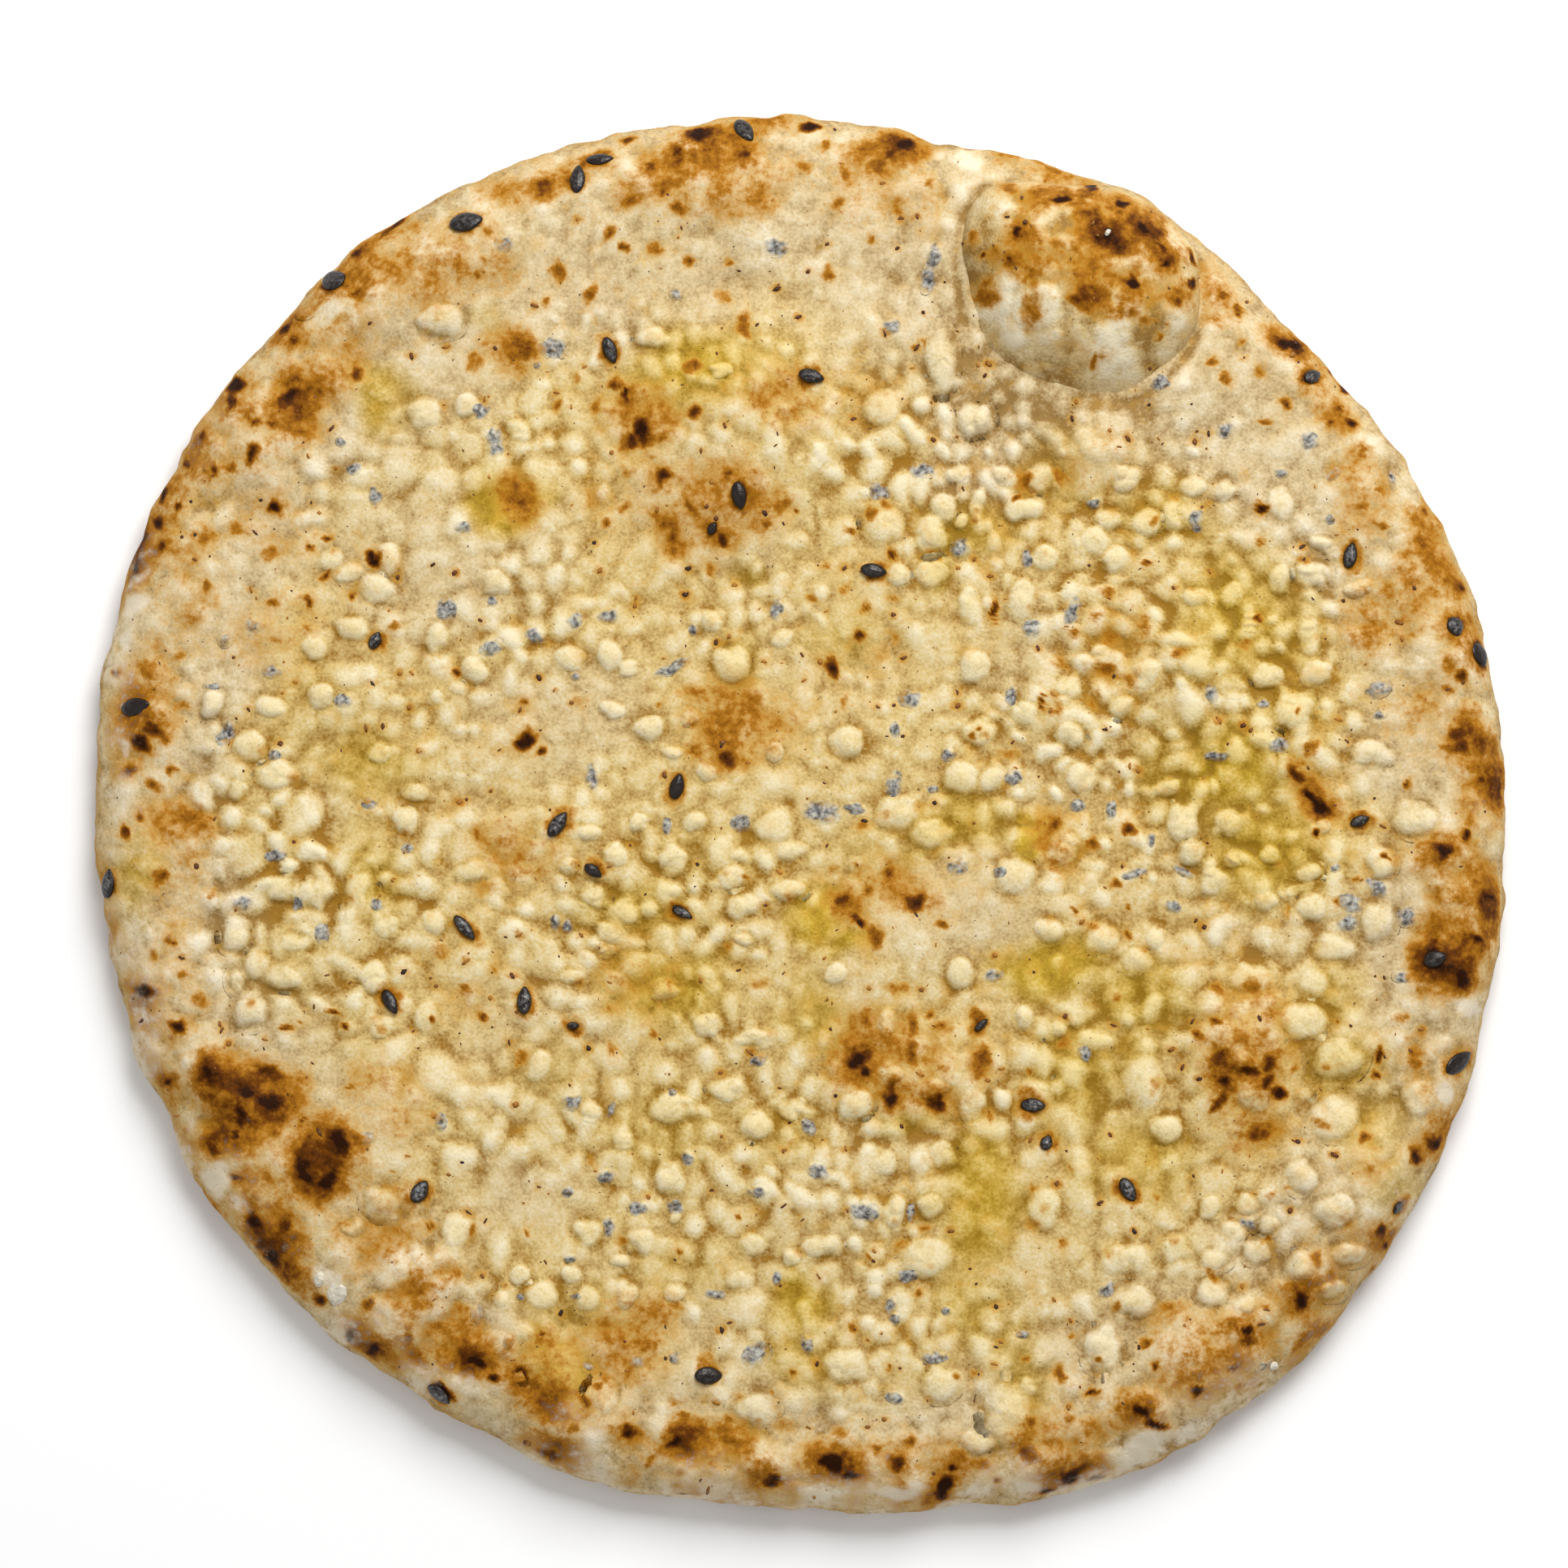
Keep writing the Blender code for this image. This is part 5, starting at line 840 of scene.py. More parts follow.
def skin(x, y, level=None, part=1.0, crisp=False):
    """Height of the shared surface of bread and cheese: the profile's level and the unevenness.
    Where no level is given, both are read off the top of the profile."""
    if level is None:
        rows = np.array(CRUST_PROFILE[:PROFILE_TOP])
        way = edge_way(x, y)
        level = np.interp(way, rows[:, 0], rows[:, 1]) + np.where(way < 0, cheese_lift(), 0.0)
        part = np.interp(way, rows[:, 0], rows[:, 2])
    return level + part * unevenness(x, y, crisp)


@functools.lru_cache
def land():
    """The unevenness on a square raster, blurred, to tell hills from hollows."""
    side = np.arange(-LAND_REACH, LAND_REACH, LAND_STEP)
    return blurred(unevenness(*np.meshgrid(side, side, indexing="ij")), LAND_BLUR)


def hill_share(x, y, crisp=False):
    """Where the surface lies above or below the land around: half is level, one a hill's top. It sets
    the painted shade in the hollows and the painted light on the tops, less the bubble's painted shade.
    """
    around = land()
    u, v = (np.clip((k + LAND_REACH) / LAND_STEP, 0, len(around) - 2) for k in (x, y))
    i, j = u.astype(int), v.astype(int)
    s, t = u - i, v - j
    mean = (around[i, j] * (1 - t) + around[i, j + 1] * t) * (1 - s)
    mean = mean + (around[i + 1, j] * (1 - t) + around[i + 1, j + 1] * t) * s
    return held(0.5 + (unevenness(x, y, crisp) - mean) / HILL_DEPTH - bubble_shade(x, y))


def cheese_lift():
    """How much higher than drawn the user has set the cheese."""
    return bpy.context.scene.pizza_sizes.cheese_height / MM - CHEESE_HEIGHT


def ragged_way(x, y):
    """The way from the cheese's edge, made uneven, for the crossing of bread and cheese."""
    return edge_way(x, y) + 0.05 * rough(x, y, 5.0, 37)


def bubble_angle(x, y):
    """Angle of a place round the bubble's middle, in radians."""
    return np.arctan2(y - BUBBLE[1], x - BUBBLE[0])


def bubble_way(x, y):
    """How far a place is from the bubble's middle, as a share of the way to its foot."""
    foot = radius_at(BUBBLE_FOOT, np.degrees(bubble_angle(x, y)))
    return np.hypot(x - BUBBLE[0], y - BUBBLE[1]) / foot


def bubble_groove(x, y):
    """Depth of the groove round the bubble's foot: a bell curve across it."""
    depth = radius_at(BUBBLE_GROOVE, np.degrees(bubble_angle(x, y)))
    return depth * np.exp(-(((bubble_way(x, y) - GROOVE_WAY) / GROOVE_WIDTH) ** 2))


def bubble_skirt(x, y, width=0.2, start=0.0):
    """One at the bubble's foot on its near side, falling off to nothing as a bell curve does: there
    the bread runs up to the bubble softly."""
    near = held(start + np.cos(bubble_angle(x, y) - SKIRT_SIDE))
    return near * np.exp(-(((bubble_way(x, y) - 1.0) / width) ** 2))


def bubble_shade(x, y):
    """How much darker the bread and the bubble are in the fold between them."""
    return 0.3 * bubble_skirt(x, y, 0.24, 0.2)


def bubble_roundness(angle):
    """The power of the bubble's profile: steep sides, and a softer roll on the near side."""
    return 0.55 + 0.95 * held(np.cos(angle - ROLL_SIDE))


def bubble_top(x, y):
    """Height of the large bubble at a place, or far below where the bubble does not reach: one less
    the share of the way to a power, and that to the power of its roundness."""
    rise = bpy.context.scene.pizza_sizes.bubble_rise / MM
    way = bubble_way(x, y)
    dome = held(1.0 - way**BUBBLE_POWER) ** bubble_roundness(bubble_angle(x, y))
    return np.where(way < 1.0, BUBBLE[2] + rise * dome, -50.0)


def food_top(x, y):
    """Height of whatever lies uppermost at a place: the shared surface or the bubble."""
    return np.maximum(skin(x, y), bubble_top(x, y))


@functools.lru_cache
def fleck_rows(count):
    """Places and sizes of the bran flecks, drawn by chance over the whole bread."""
    draw = np.random.default_rng(SEED + 2)
    distance, angle = FLECK_FIELD * np.sqrt(draw.random(count)), 2 * math.pi * draw.random(count)
    distance = np.minimum(distance, radius_at(OUTLINE, np.degrees(angle)) - 1.5)
    least, more = FLECK_SIZES
    size = least + more * draw.random(count) ** 3
    return tuple(zip(distance * np.cos(angle), distance * np.sin(angle), size))


def widened(marks, times, more, share=1.0):
    """Marks that reach further: so many times, and that much more, with a share of their strength."""
    return [(x, y, a * times + more, b * times + more, turn, s * share) for x, y, a, b, turn, s in marks]


def outer_share(x, y, width):
    """One at the bread's outer edge, falling evenly to nothing over that share of its radius."""
    return held((np.hypot(x, y) / radius_at(OUTLINE, angle_of(x, y)) - (1 - width)) / width)


def browning(x, y):
    """How browned a place is: broad areas, and on them the spots and smears, each with a fainter
    halo, a ring round each bare seed, a dot round each larger fleck, and a toasted outer edge.
    Marks with a strength below nothing are paler. One is black."""
    u, v = stirred(*stirred(x, y, *MARK_STIR), *CRUMB_STIR)
    broad_u, broad_v = stirred(x, y, *ZONE_STIR)
    spots = [(mx, my, size, size, 0.0, strength) for mx, my, size, strength in SPOTS]
    marks = widened(spots + list(SMEARS), *MARK_SPREAD)
    dark = [mark for mark in marks if mark[5] > 0]
    pale = [mark for mark in marks if mark[5] < 0]
    halos = widened(dark, *HALO_SPREAD)
    rings = widened([(*seed, RING_STRENGTH) for seed in BARE_SEEDS], *RING_SPREAD)
    dots = [
        (mx, my, 0.5 + 1.7 * size, 0.5 + 1.3 * size, 0.0, 0.9 * size)
        for mx, my, size in fleck_rows(bpy.context.scene.pizza_sizes.fleck_count)
        if size > DOTTED_FLECK
    ]
    outer = outer_share(x, y, TOASTED_WIDTH)
    toasted = np.clip(0.25 + 1.3 * rough(broad_u, broad_v, 9.0, 91), 0.0, 1.3)
    brown = hills(broad_u, broad_v, BROWN_ZONES, 0.9, np.maximum)
    brown = np.maximum(brown, outer * toasted * 0.22) + 0.08 * outer**4 * toasted
    brown = brown * (0.85 + 0.35 * rough(x, y, 3.0, 71))
    brown += 0.42 * hills(u, v, halos, 1.5, np.maximum)
    brown = np.maximum(brown, hills(u, v, rings, 1.2, np.maximum))
    brown = np.maximum(brown, hills(x, y, dots, 1.0, np.maximum))
    brown = np.maximum(brown, hills(u, v, dark, 1.3, np.maximum))
    brown += 0.7 * hills(u, v, pale, 1.3)
    return np.clip(brown, 0.0, 1.3)


def food_marks(x, y):
    """The painted measures of a place, each from nothing to one: how high it lies, which sets the
    painted shade and light, browning, oil, flour and bare dough. Flour also lies as a film on
    the outer edge."""
    wide = stirred(x, y, *POOL_STIR)
    outwards = held(1.0 + (edge_way(x, y) + 0.2 * rough(x, y, 9.0, 83)) / 0.6)
    bare = hills(*wide, BARE_DOUGH, 0.8, np.maximum)
    film = outer_share(x, y, FILM_WIDTH) * held(0.6 - np.cos(np.radians(angle_of(x, y) - CLEAN_SIDE)))
    film = film * np.clip(0.35 + 0.5 * rough(x, y, 6.0, 87), 0.0, 0.7)
    flour = hills(*stirred(x, y, *FLOUR_STIR), FLOUR_PATCHES, 0.8, np.maximum)
    return {
        "hill": hill_share(x, y),
        "brown": browning(x, y),
        "oil": held(hills(*wide, OIL_POOLS, 0.9, np.maximum)),
        "dust": np.maximum(film, held(flour)),
        "dough": held(np.maximum(bare, outwards)),
    }


def blurred(field, times):
    """A grid's values, each mixed again and again with its four neighbours."""
    for _ in range(times):
        padded = np.pad(field, 1, mode="edge")
        field = field + padded[2:, 1:-1] + padded[:-2, 1:-1] + padded[1:-1, 2:] + padded[1:-1, :-2]
        field = field / 5.0
    return field


def grid_faces(rows, columns, around=False):
    """Quads of a grid of points, counted row by row, closed round its columns if asked."""
    across = columns if around else columns - 1
    row, column = np.meshgrid(np.arange(rows - 1), np.arange(across), indexing="ij")
    here = row * columns + column
    beside = row * columns + (column + 1) % columns
    return np.stack([here, beside, beside + columns, here + columns], axis=-1).reshape(-1, 4)


def fan_faces(ring, tip):
    """Triangles from each edge of a closed ring of points to a tip."""
    return np.column_stack([ring, np.roll(ring, -1), np.full(len(ring), tip)])


def shell_faces(rows, around):
    """Faces of a closed shell of rings, from the top down: the quads between them, and the fans to
    the two points that follow the rings, the upper tip and the lower one."""
    top = rows * around
    first, last = np.arange(around), np.arange(around) + top - around
    tips = np.vstack([fan_faces(first, top), fan_faces(last, top + 1)[:, ::-1]])
    return grid_faces(rows, around, True)[:, ::-1], tips


def listed(x, y, z, *tips):
    """One row for each point of a grid, and then the tips."""
    return np.vstack([np.column_stack([x.ravel(), y.ravel(), z.ravel()]), *tips])


def add_piece(name, points, faces, material, replaced, attributes=None):
    """A smooth-shaded piece from points in millimetres and lists of faces, which rides on the one
    body, hides the solid it replaces and keeps its measures as point attributes."""
    mesh = bpy.data.meshes.new(name)
    corners = np.concatenate([np.asarray(group).ravel() for group in faces])
    sizes = np.concatenate([np.full(len(group), np.shape(group)[1]) for group in faces])
    mesh.vertices.add(len(points))
    mesh.vertices.foreach_set("co", (np.asarray(points) * MM).ravel())
    mesh.loops.add(len(corners))
    mesh.loops.foreach_set("vertex_index", corners.astype(np.int32))
    mesh.polygons.add(len(sizes))
    starts = np.concatenate([[0], np.cumsum(sizes)[:-1]])
    mesh.polygons.foreach_set("loop_start", starts.astype(np.int32))
    for label, values in (attributes or {}).items():
        layer = mesh.attributes.new(label, "FLOAT", "POINT")
        layer.data.foreach_set("value", np.asarray(values, np.float32).ravel())
    mesh.materials.append(material)
    mesh.update(calc_edges=True)
    mesh.validate()
    mesh.shade_smooth()
    piece = bpy.data.objects.new(name, mesh)
    bpy.context.scene.collection.objects.link(piece)
    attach(piece, "root")
    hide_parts(replaced)
    return piece


class Nodes:
    """A material's node tree, with short ways to add what the food needs."""

    def __init__(self, name, roughness=0.5, specular=0.5):
        self.material = bpy.data.materials.new(name)
        self.material.use_nodes = True
        self.tree = self.material.node_tree
        self.shader = self.tree.nodes["Principled BSDF"]
        self.shader.inputs["Roughness"].default_value = roughness
        self.shader.inputs["Specular IOR Level"].default_value = specular
        self.place = self.add("ShaderNodeTexCoord").outputs["Object"]

    def add(self, kind, **inputs):
        """A node with some of its inputs linked or set."""
        node = self.tree.nodes.new(kind)
        for name, value in inputs.items():
            self.put(node.inputs[name.replace("_", " ")], value)
        return node

    def put(self, socket, value):
        """Link an output to a socket, or set the socket's own value."""
        if isinstance(value, bpy.types.NodeSocket):
            self.tree.links.new(value, socket)
        elif hasattr(value, "__len__"):
            socket.default_value = (*value[:3], 1.0)
        else:
            socket.default_value = value

    def paint(self, tint):
        """Give the shader its colour."""
        self.put(self.shader.inputs["Base Color"], tint)

    def measure(self, name):
        """A piece's point attribute."""
        node = self.add("ShaderNodeAttribute")
        node.attribute_name = name
        return node.outputs["Fac"]

    def grain(self, size, detail=3.0, harshness=0.5):
        """Noise from 0 to 1 whose blotches are about that many millimetres across."""
        node = self.add("ShaderNodeTexNoise", Vector=self.place, Scale=1000.0 / size, Detail=detail)
        node.inputs["Roughness"].default_value = harshness
        return node.outputs["Fac"]

    def cells(self, size):
        """Distance from the nearest of scattered points about that many millimetres apart."""
        node = self.add("ShaderNodeTexVoronoi", Vector=self.place, Scale=1000.0 / size)
        return node.outputs["Distance"]

    def sum(self, kind, first, second, clamp=False):
        """One sum of two numbers, kept from nothing to one if asked."""
        node = self.add("ShaderNodeMath")
        node.operation = kind
        node.use_clamp = clamp
        self.put(node.inputs[0], first)
        self.put(node.inputs[1], second)
        return node.outputs[0]

    def times(self, first, second, clamp=False):
        """One number times another."""
        return self.sum("MULTIPLY", first, second, clamp)

    def swayed(self, value, sway, amount, middle=0.5, clamp=False):
        """A number moved up and down with a noise: by the noise less its middle, times an amount."""
        return self.sum("ADD", value, self.times(self.sum("SUBTRACT", sway, middle), amount), clamp)

    def span(self, value, low, high, bottom=0.0, top=1.0):
        """A number carried smoothly from one range to another and kept inside it."""
        node = self.add("ShaderNodeMapRange", Value=value)
        node.interpolation_type = "SMOOTHSTEP"
        for name, number in (("From Min", low), ("From Max", high), ("To Min", bottom), ("To Max", top)):
            node.inputs[name].default_value = number
        return node.outputs[0]

    def mix(self, amount, first, second, kind="MIX"):
        """Two colours mixed by an amount."""
        node = self.add("ShaderNodeMix")
        node.data_type = "RGBA"
        node.blend_type = kind
        for socket, value in ((0, amount), (6, first), (7, second)):
            self.put(node.inputs[socket], value)
        return node.outputs[2]

    def ramp(self, value, *stops):
        """A colour read off a row of (place, colour) stops."""
        node = self.add("ShaderNodeValToRGB", Fac=value)
        elements = node.color_ramp.elements
        elements[0].position, elements[1].position = stops[0][0], stops[-1][0]
        elements[0].color, elements[1].color = ((*tint[:3], 1.0) for _, tint in (stops[0], stops[-1]))
        for place, tint in stops[1:-1]:
            elements.new(place).color = (*tint[:3], 1.0)
        return node.outputs["Color"]

    def bump(self, height, depth):
        """Fine unevenness, that many millimetres deep, on the shader's normal."""
        node = self.add("ShaderNodeBump", Height=height)
        node.inputs["Distance"].default_value = depth * MM
        self.put(self.shader.inputs["Normal"], node.outputs["Normal"])


def finish(name, make):
    """The material of that name, made the first time that a piece asks for it."""
    return bpy.data.materials.get(name) or make(name)


def food_material(name):
    """Baked dough and melted curd cheese. Each has three tones, from painted shade in its creases to
    painted light on the tops of its lumps. The cheese turns to dough, takes oil, stains and specks,
    and both are browned up to char and dusted with flour. A veil shows the mottled seed below it."""
    tint = bpy.context.scene.pizza_colours
    n = Nodes(name, specular=0.05)
    brown, oil, dust, dough, hill, veil = map(n.measure, ("brown", "oil", "dust", "dough", "hill", "veil"))
    broad, middle, fine, finest = n.grain(16.0), n.grain(5.0), n.grain(1.1, 5.0, 0.66), n.grain(0.42, 2.0)
    # The tone: how high a place lies, for painted shade in the hollows and painted light on the tops,
    # swayed by three sizes of blotches.
    tone = n.swayed(n.swayed(n.times(hill, 0.9), fine, 0.6), middle, 0.4)
    tone = n.swayed(tone, finest, 0.55, 0.46)
    deep, level, high = TONES
    cheese = n.ramp(tone, (deep, tint.crease_shade), (level, tint.cheese), (high, tint.curd))
    bread = n.ramp(tone, (deep, tint.hollow), (level, tint.dough), (high, tint.crumb))
    base = n.mix(n.swayed(dough, broad, 1.2, clamp=True), cheese, bread)
    # The oil takes the painted shade and light: darker in the hollows, and paler over the tops.
    shine = n.ramp(tone, (0.1, OIL_DARK), (0.5, (1.0,) * 3), (0.9, OIL_PALE))
    soaked = n.times(n.times(oil, 1.35), n.span(tone, 0.0, 1.0, 1.25, 0.7), True)
    base = n.mix(soaked, base, n.mix(1.0, tint.oil, shine, "MULTIPLY"))
    # Golden stains and small brown specks, here and there.
    stain = n.times(n.span(n.grain(2.6), 0.54, 0.70), n.span(n.grain(21.0), 0.36, 0.62))
    base = n.mix(n.times(stain, 0.35), base, tint.golden)
    speck, chance = n.span(n.cells(1.3), 0.05, 0.14, 1.0, 0.0), n.span(n.grain(1.7, 1.0), 0.55, 0.62)
    base = n.mix(n.times(n.times(speck, chance), 0.6), base, tint.brown)
    # The seeds under the cheese: black, grey and cream by turns.
    black, grey, cream = SEED_MOTTLE
    mottle = n.ramp(n.grain(0.62, 3.0), (0.34, black), (0.44, grey), (0.55, tint.veil), (0.70, cream))
    base = n.mix(veil, base, mottle)
    # The browning, in patches, from golden to char.
    patchy = n.swayed(n.swayed(n.times(brown, 1.15), fine, 0.9), middle, 0.25)
    shades = ((0.12, tint.golden), (0.36, tint.orange), (0.57, tint.brown), (0.77, tint.char))
    baked = n.ramp(n.sum("DIVIDE", patchy, 1.3), *shades, (1.0, tint.char))
    base = n.mix(n.span(patchy, 0.02, 0.52), base, baked)
    # The flour, in patches, rubbed off where the dough is most browned.
    floured = n.times(n.span(n.swayed(dust, fine, 1.2), 0.25, 0.85, 0.0, 0.85), n.span(dust, 0.02, 0.2))
    floured = n.times(floured, n.span(brown, 0.3, 0.9, 1.0, 0.25))
    n.paint(n.mix(floured, base, tint.flour))
    of_cheese, of_dough, of_oil, of_brown, of_flour = ((rough,) * 3 for rough in ROUGHNESSES)
    matte = n.mix(oil, n.mix(dough, of_cheese, of_dough), of_oil)
    matte = n.mix(floured, n.mix(n.span(patchy, 0.3, 0.6), matte, of_brown), of_flour)
    n.put(n.shader.inputs["Roughness"], matte)
    n.bump(n.sum("ADD", n.times(fine, 0.8), n.times(finest, 0.4)), 0.16)
    return n.material


def bread_finish():
    """The dough's material."""
    return finish("toasted_dough_skin", food_material)


def cheese_finish():
    """The cheese's material."""
    return finish("curd_cheese_skin", food_material)


def seed_material(name):
    """Black sesame: glossy black sides, and a painted highlight on the top, grey with pale streaks."""
    n = Nodes(name, 0.3, 0.35)
    top_highlight = n.times(n.measure("top_highlight"), n.span(n.grain(0.55), 0.40, 0.60))
    dark, light, pale = SEED_HIGHLIGHT
    grey = n.ramp(n.grain(0.35), (0.4, dark), (0.62, light), (0.75, pale))
    n.paint(n.mix(top_highlight, bpy.context.scene.pizza_colours.sesame, grey))
    n.bump(n.grain(0.5), 0.10)
    return n.material


def fleck_material(name):
    """Bran: each fleck somewhere from orange brown to nearly black."""
    tint = bpy.context.scene.pizza_colours
    n = Nodes(name, 0.7)
    n.paint(n.ramp(n.measure("shade"), (0.0, tint.orange), (0.45, tint.brown), (1.0, tint.char)))
    n.bump(n.grain(0.3), 0.05)
    return n.material


def salt_material(name):
    """Salt: white and grainy, with cream in its blotches."""
    n = Nodes(name, 0.35)
    n.paint(n.mix(n.grain(0.8), (0.42, 0.36, 0.26), (0.82, 0.77, 0.64)))
    n.bump(n.grain(0.6), 0.15)
    return n.material


def pale_material(name):
    """The plain pale floor."""
    n = Nodes(name, 0.9, 0.1)
    n.paint((0.9,) * 3)
    return n.material


def path_through(rows, steps):
    """Points evenly spaced along a smooth curve through rows of numbers: a Catmull-Rom spline,
    walked at equal lengths of its first two columns, of which the first is a share of the width."""
    rows = np.asarray(rows, float)
    ends = np.vstack([rows[0], rows, rows[-1]])
    t = np.linspace(0, len(rows) - 1, 60 * len(rows))
    k = np.minimum(t.astype(int), len(rows) - 2)
    f = (t - k)[:, None]
    a, b, c, d = (ends[k + n] for n in range(4))
    bend, twist = 2 * a - 5 * b + 4 * c - d, d - a + 3 * (b - c)
    curve = 0.5 * (2 * b + (c - a) * f + bend * f**2 + twist * f**3)
    steps_gone = np.linalg.norm(np.diff(curve[:, :2] * (RIM_WIDTH, 1.0), axis=0), axis=1)
    gone = np.concatenate([[0.0], np.cumsum(steps_gone)])
    even = np.linspace(0.0, gone[-1], steps)
    return np.column_stack([np.interp(even, gone, column) for column in curve.T])


def build_crust():
    """The bread: its profile carried round the uneven edges, with the relief laid on its top and
    a small unevenness on its side, then rings over the flat base to the middle."""
    around, down = 1100, 76
    angle = np.linspace(0.0, 360.0, around, endpoint=False)
    inner, outer = radius_at(CHEESE_EDGE, angle), radius_at(OUTLINE, angle)
    way, level, part = (column[:, None] for column in path_through(CRUST_PROFILE, down).T)
    radius = inner + way * (outer - inner)
    turn = np.radians(angle)
    arc = turn * RADIUS
    side = held(1.0 - part) * (way > 0.5) * held(level / 2.0)
    radius = radius + side * 0.35 * rough(arc, level * 1.5 + 40, 4.0, 101)
    radius = radius + held(way) ** 3 * 0.45 * rough(arc, 0.0, 7.0, 107)
    x, y = radius * np.cos(turn), radius * np.sin(turn)
    z = skin(x, y, level, part) - np.interp(ragged_way(x, y), *BREAD_DEPTH)
    base = np.array(BASE_RINGS)[:, None] * radius[-1]
    x, y = np.vstack([x, base * np.cos(turn)]), np.vstack([y, base * np.sin(turn)])
    z = np.vstack([z, np.zeros_like(base)])
    points = listed(x, y, z, [0.0, 0.0, 6.0], [0.0, 0.0, 0.0])
    # Low on the side the marks are read a little further out, so that they don't run straight down.
    wider = 1.0 + np.clip(5.5 - points[:, 2], 0.0, 5.5) / RADIUS
    marks = food_marks(points[:, 0] * wider, points[:, 1] * wider)
    # The underside is toasted all over, with darker spots.
    low = held(1.0 - points[:, 2] / 6.5)
    spots = rough(points[:, 0], points[:, 1] + 3 * points[:, 2], 7.0, 131)
    toast = 0.30 + 0.5 * np.clip(spots * 0.9 + 0.1, 0.0, 0.8)
    marks["brown"] = np.maximum(marks["brown"], low * toast)
    # Painted shade: the side under the widest line has the tone of a hollow.
    tone = marks["hill"][: down * around].reshape(down, around)
    tone += (0.12 - tone) * (held((way - 0.8) / 0.19) * held(1.0 - (level - 2.0) / 5.0))
    add_piece("crust_dough", points, shell_faces(len(x), around), bread_finish(), "crust", marks)


def build_bubble():
    """The large bubble: a superellipse carried round its uneven foot, with dents and lumps, and a
    root sunk into the bread."""
    middle_x, middle_y, level, _ = BUBBLE
    rise = bpy.context.scene.pizza_sizes.bubble_rise / MM
    around, rows = 320, 96
    turn = np.linspace(0.0, 2 * math.pi, around, endpoint=False)
    foot = radius_at(BUBBLE_FOOT, np.degrees(turn))
    lean = np.linspace(0.0, math.pi / 2, rows)[1:, None]
    root_way, root_height = np.array(BUBBLE_ROOT).T[:, :, None]
    way = np.vstack([np.sin(lean) ** (2 / BUBBLE_POWER), root_way])
    dome = level + rise * np.cos(lean) ** (2 * bubble_roundness(turn))
    height = np.vstack([dome, np.broadcast_to(root_height, (len(root_height), around))])
    radius = way * foot * (1 + 0.03 * way**3 * rough(turn * 14.0, height * 1.3, 7.0, 141))
    x, y = middle_x + radius * np.cos(turn), middle_y + radius * np.sin(turn)
    z = height + (height > level) * 0.45 * (1 - way**6) * (rough(x, y, 5.0, 151) + lumps(x, y))
    points = listed(x, y, z, [middle_x, middle_y, z[0].mean()], [middle_x, middle_y, BUBBLE_ROOT[-1][1]])
    marks = food_marks(points[:, 0], points[:, 1])
    marks["dough"][:] = 0.6
    # The tone follows the bubble's lumps, with painted shade in the groove round its foot and on its near
    # side.
    hill = 0.47 + 1.5 * (z - height) + 0.18 * rough(x, y, 2.2, 157)
    hill = held(hill - 0.4 * bubble_groove(x, y) - bubble_shade(x, y))
    marks["hill"] = np.append(hill, [0.5, 0.5])
    add_piece("dough_bubble", points, shell_faces(len(way), around), bread_finish(), "crust", marks)


def build_cheese():
    """The cheese: a square of points mapped onto a disc, ring by ring, laid on the top's height,
    then turned under at its edge to a flat underside."""
    cells = 300
    side = np.linspace(-1.0, 1.0, cells + 1)
    a, b = np.meshgrid(side, side, indexing="ij")
    steep = np.abs(b) > np.abs(a)
    radius = np.where(steep, b, a)
    part = np.divide(np.where(steep, a, b), radius, out=np.zeros_like(a), where=np.abs(radius) > 1e-9)
    turn = np.where(steep, math.pi / 2 - part * math.pi / 4, part * math.pi / 4)
    x, y = radius * np.cos(turn), radius * np.sin(turn)
    angle = angle_of(x, y)
    inner = radius_at(CHEESE_EDGE, angle)
    edge = inner + CHEESE_REACH * (radius_at(OUTLINE, angle) - inner)
    x, y = x * edge, y * edge
    top = listed(x, y, skin(x, y) - np.interp(ragged_way(x, y), *CHEESE_DEPTH))
    index = np.arange(len(top)).reshape(cells + 1, cells + 1)
    ring = np.concatenate([index[:-1, 0], index[-1, :-1], index[:0:-1, -1], index[0, :0:-1]])
    below = len(top) + np.arange(len(ring))
    under = top[ring] * (0.95, 0.95, 0.0) + (0.0, 0.0, CHEESE_UNDERSIDE)
    points = np.vstack([top, under, [0.0, 0.0, CHEESE_UNDERSIDE]])
    skirt = np.column_stack([ring, below, np.roll(below, -1), np.roll(ring, -1)])
    base = fan_faces(below, len(points) - 1)[:, ::-1]
    faces = (grid_faces(cells + 1, cells + 1)[:, ::-1], skirt, base)
    hidden = np.zeros(len(points) - len(top))
    marks = {name: np.append(values, hidden) for name, values in food_marks(x, y).items()}
    add_piece("cheese_melt", points, faces, cheese_finish(), "cheese", marks)


def ball(around, rows):
    """A unit ball as rings from pole to pole, and its faces."""
    lean = np.linspace(0.0, math.pi, rows + 1)[1:-1, None]
    turn = np.linspace(0.0, 2 * math.pi, around, endpoint=False)
    rings = np.broadcast_arrays(np.sin(lean) * np.cos(turn), np.sin(lean) * np.sin(turn), np.cos(lean))
    return listed(*rings, [0.0, 0.0, 1.0], [0.0, 0.0, -1.0]), shell_faces(rows - 1, around)


def many(x, y, z, faces):
    """One list of points and faces from like shapes, one in each row."""
    copies, count = z.shape
    shift = (np.arange(copies) * count)[:, None, None]
    return listed(x, y, z), [(group[None] + shift).reshape(-1, group.shape[1]) for group in faces]


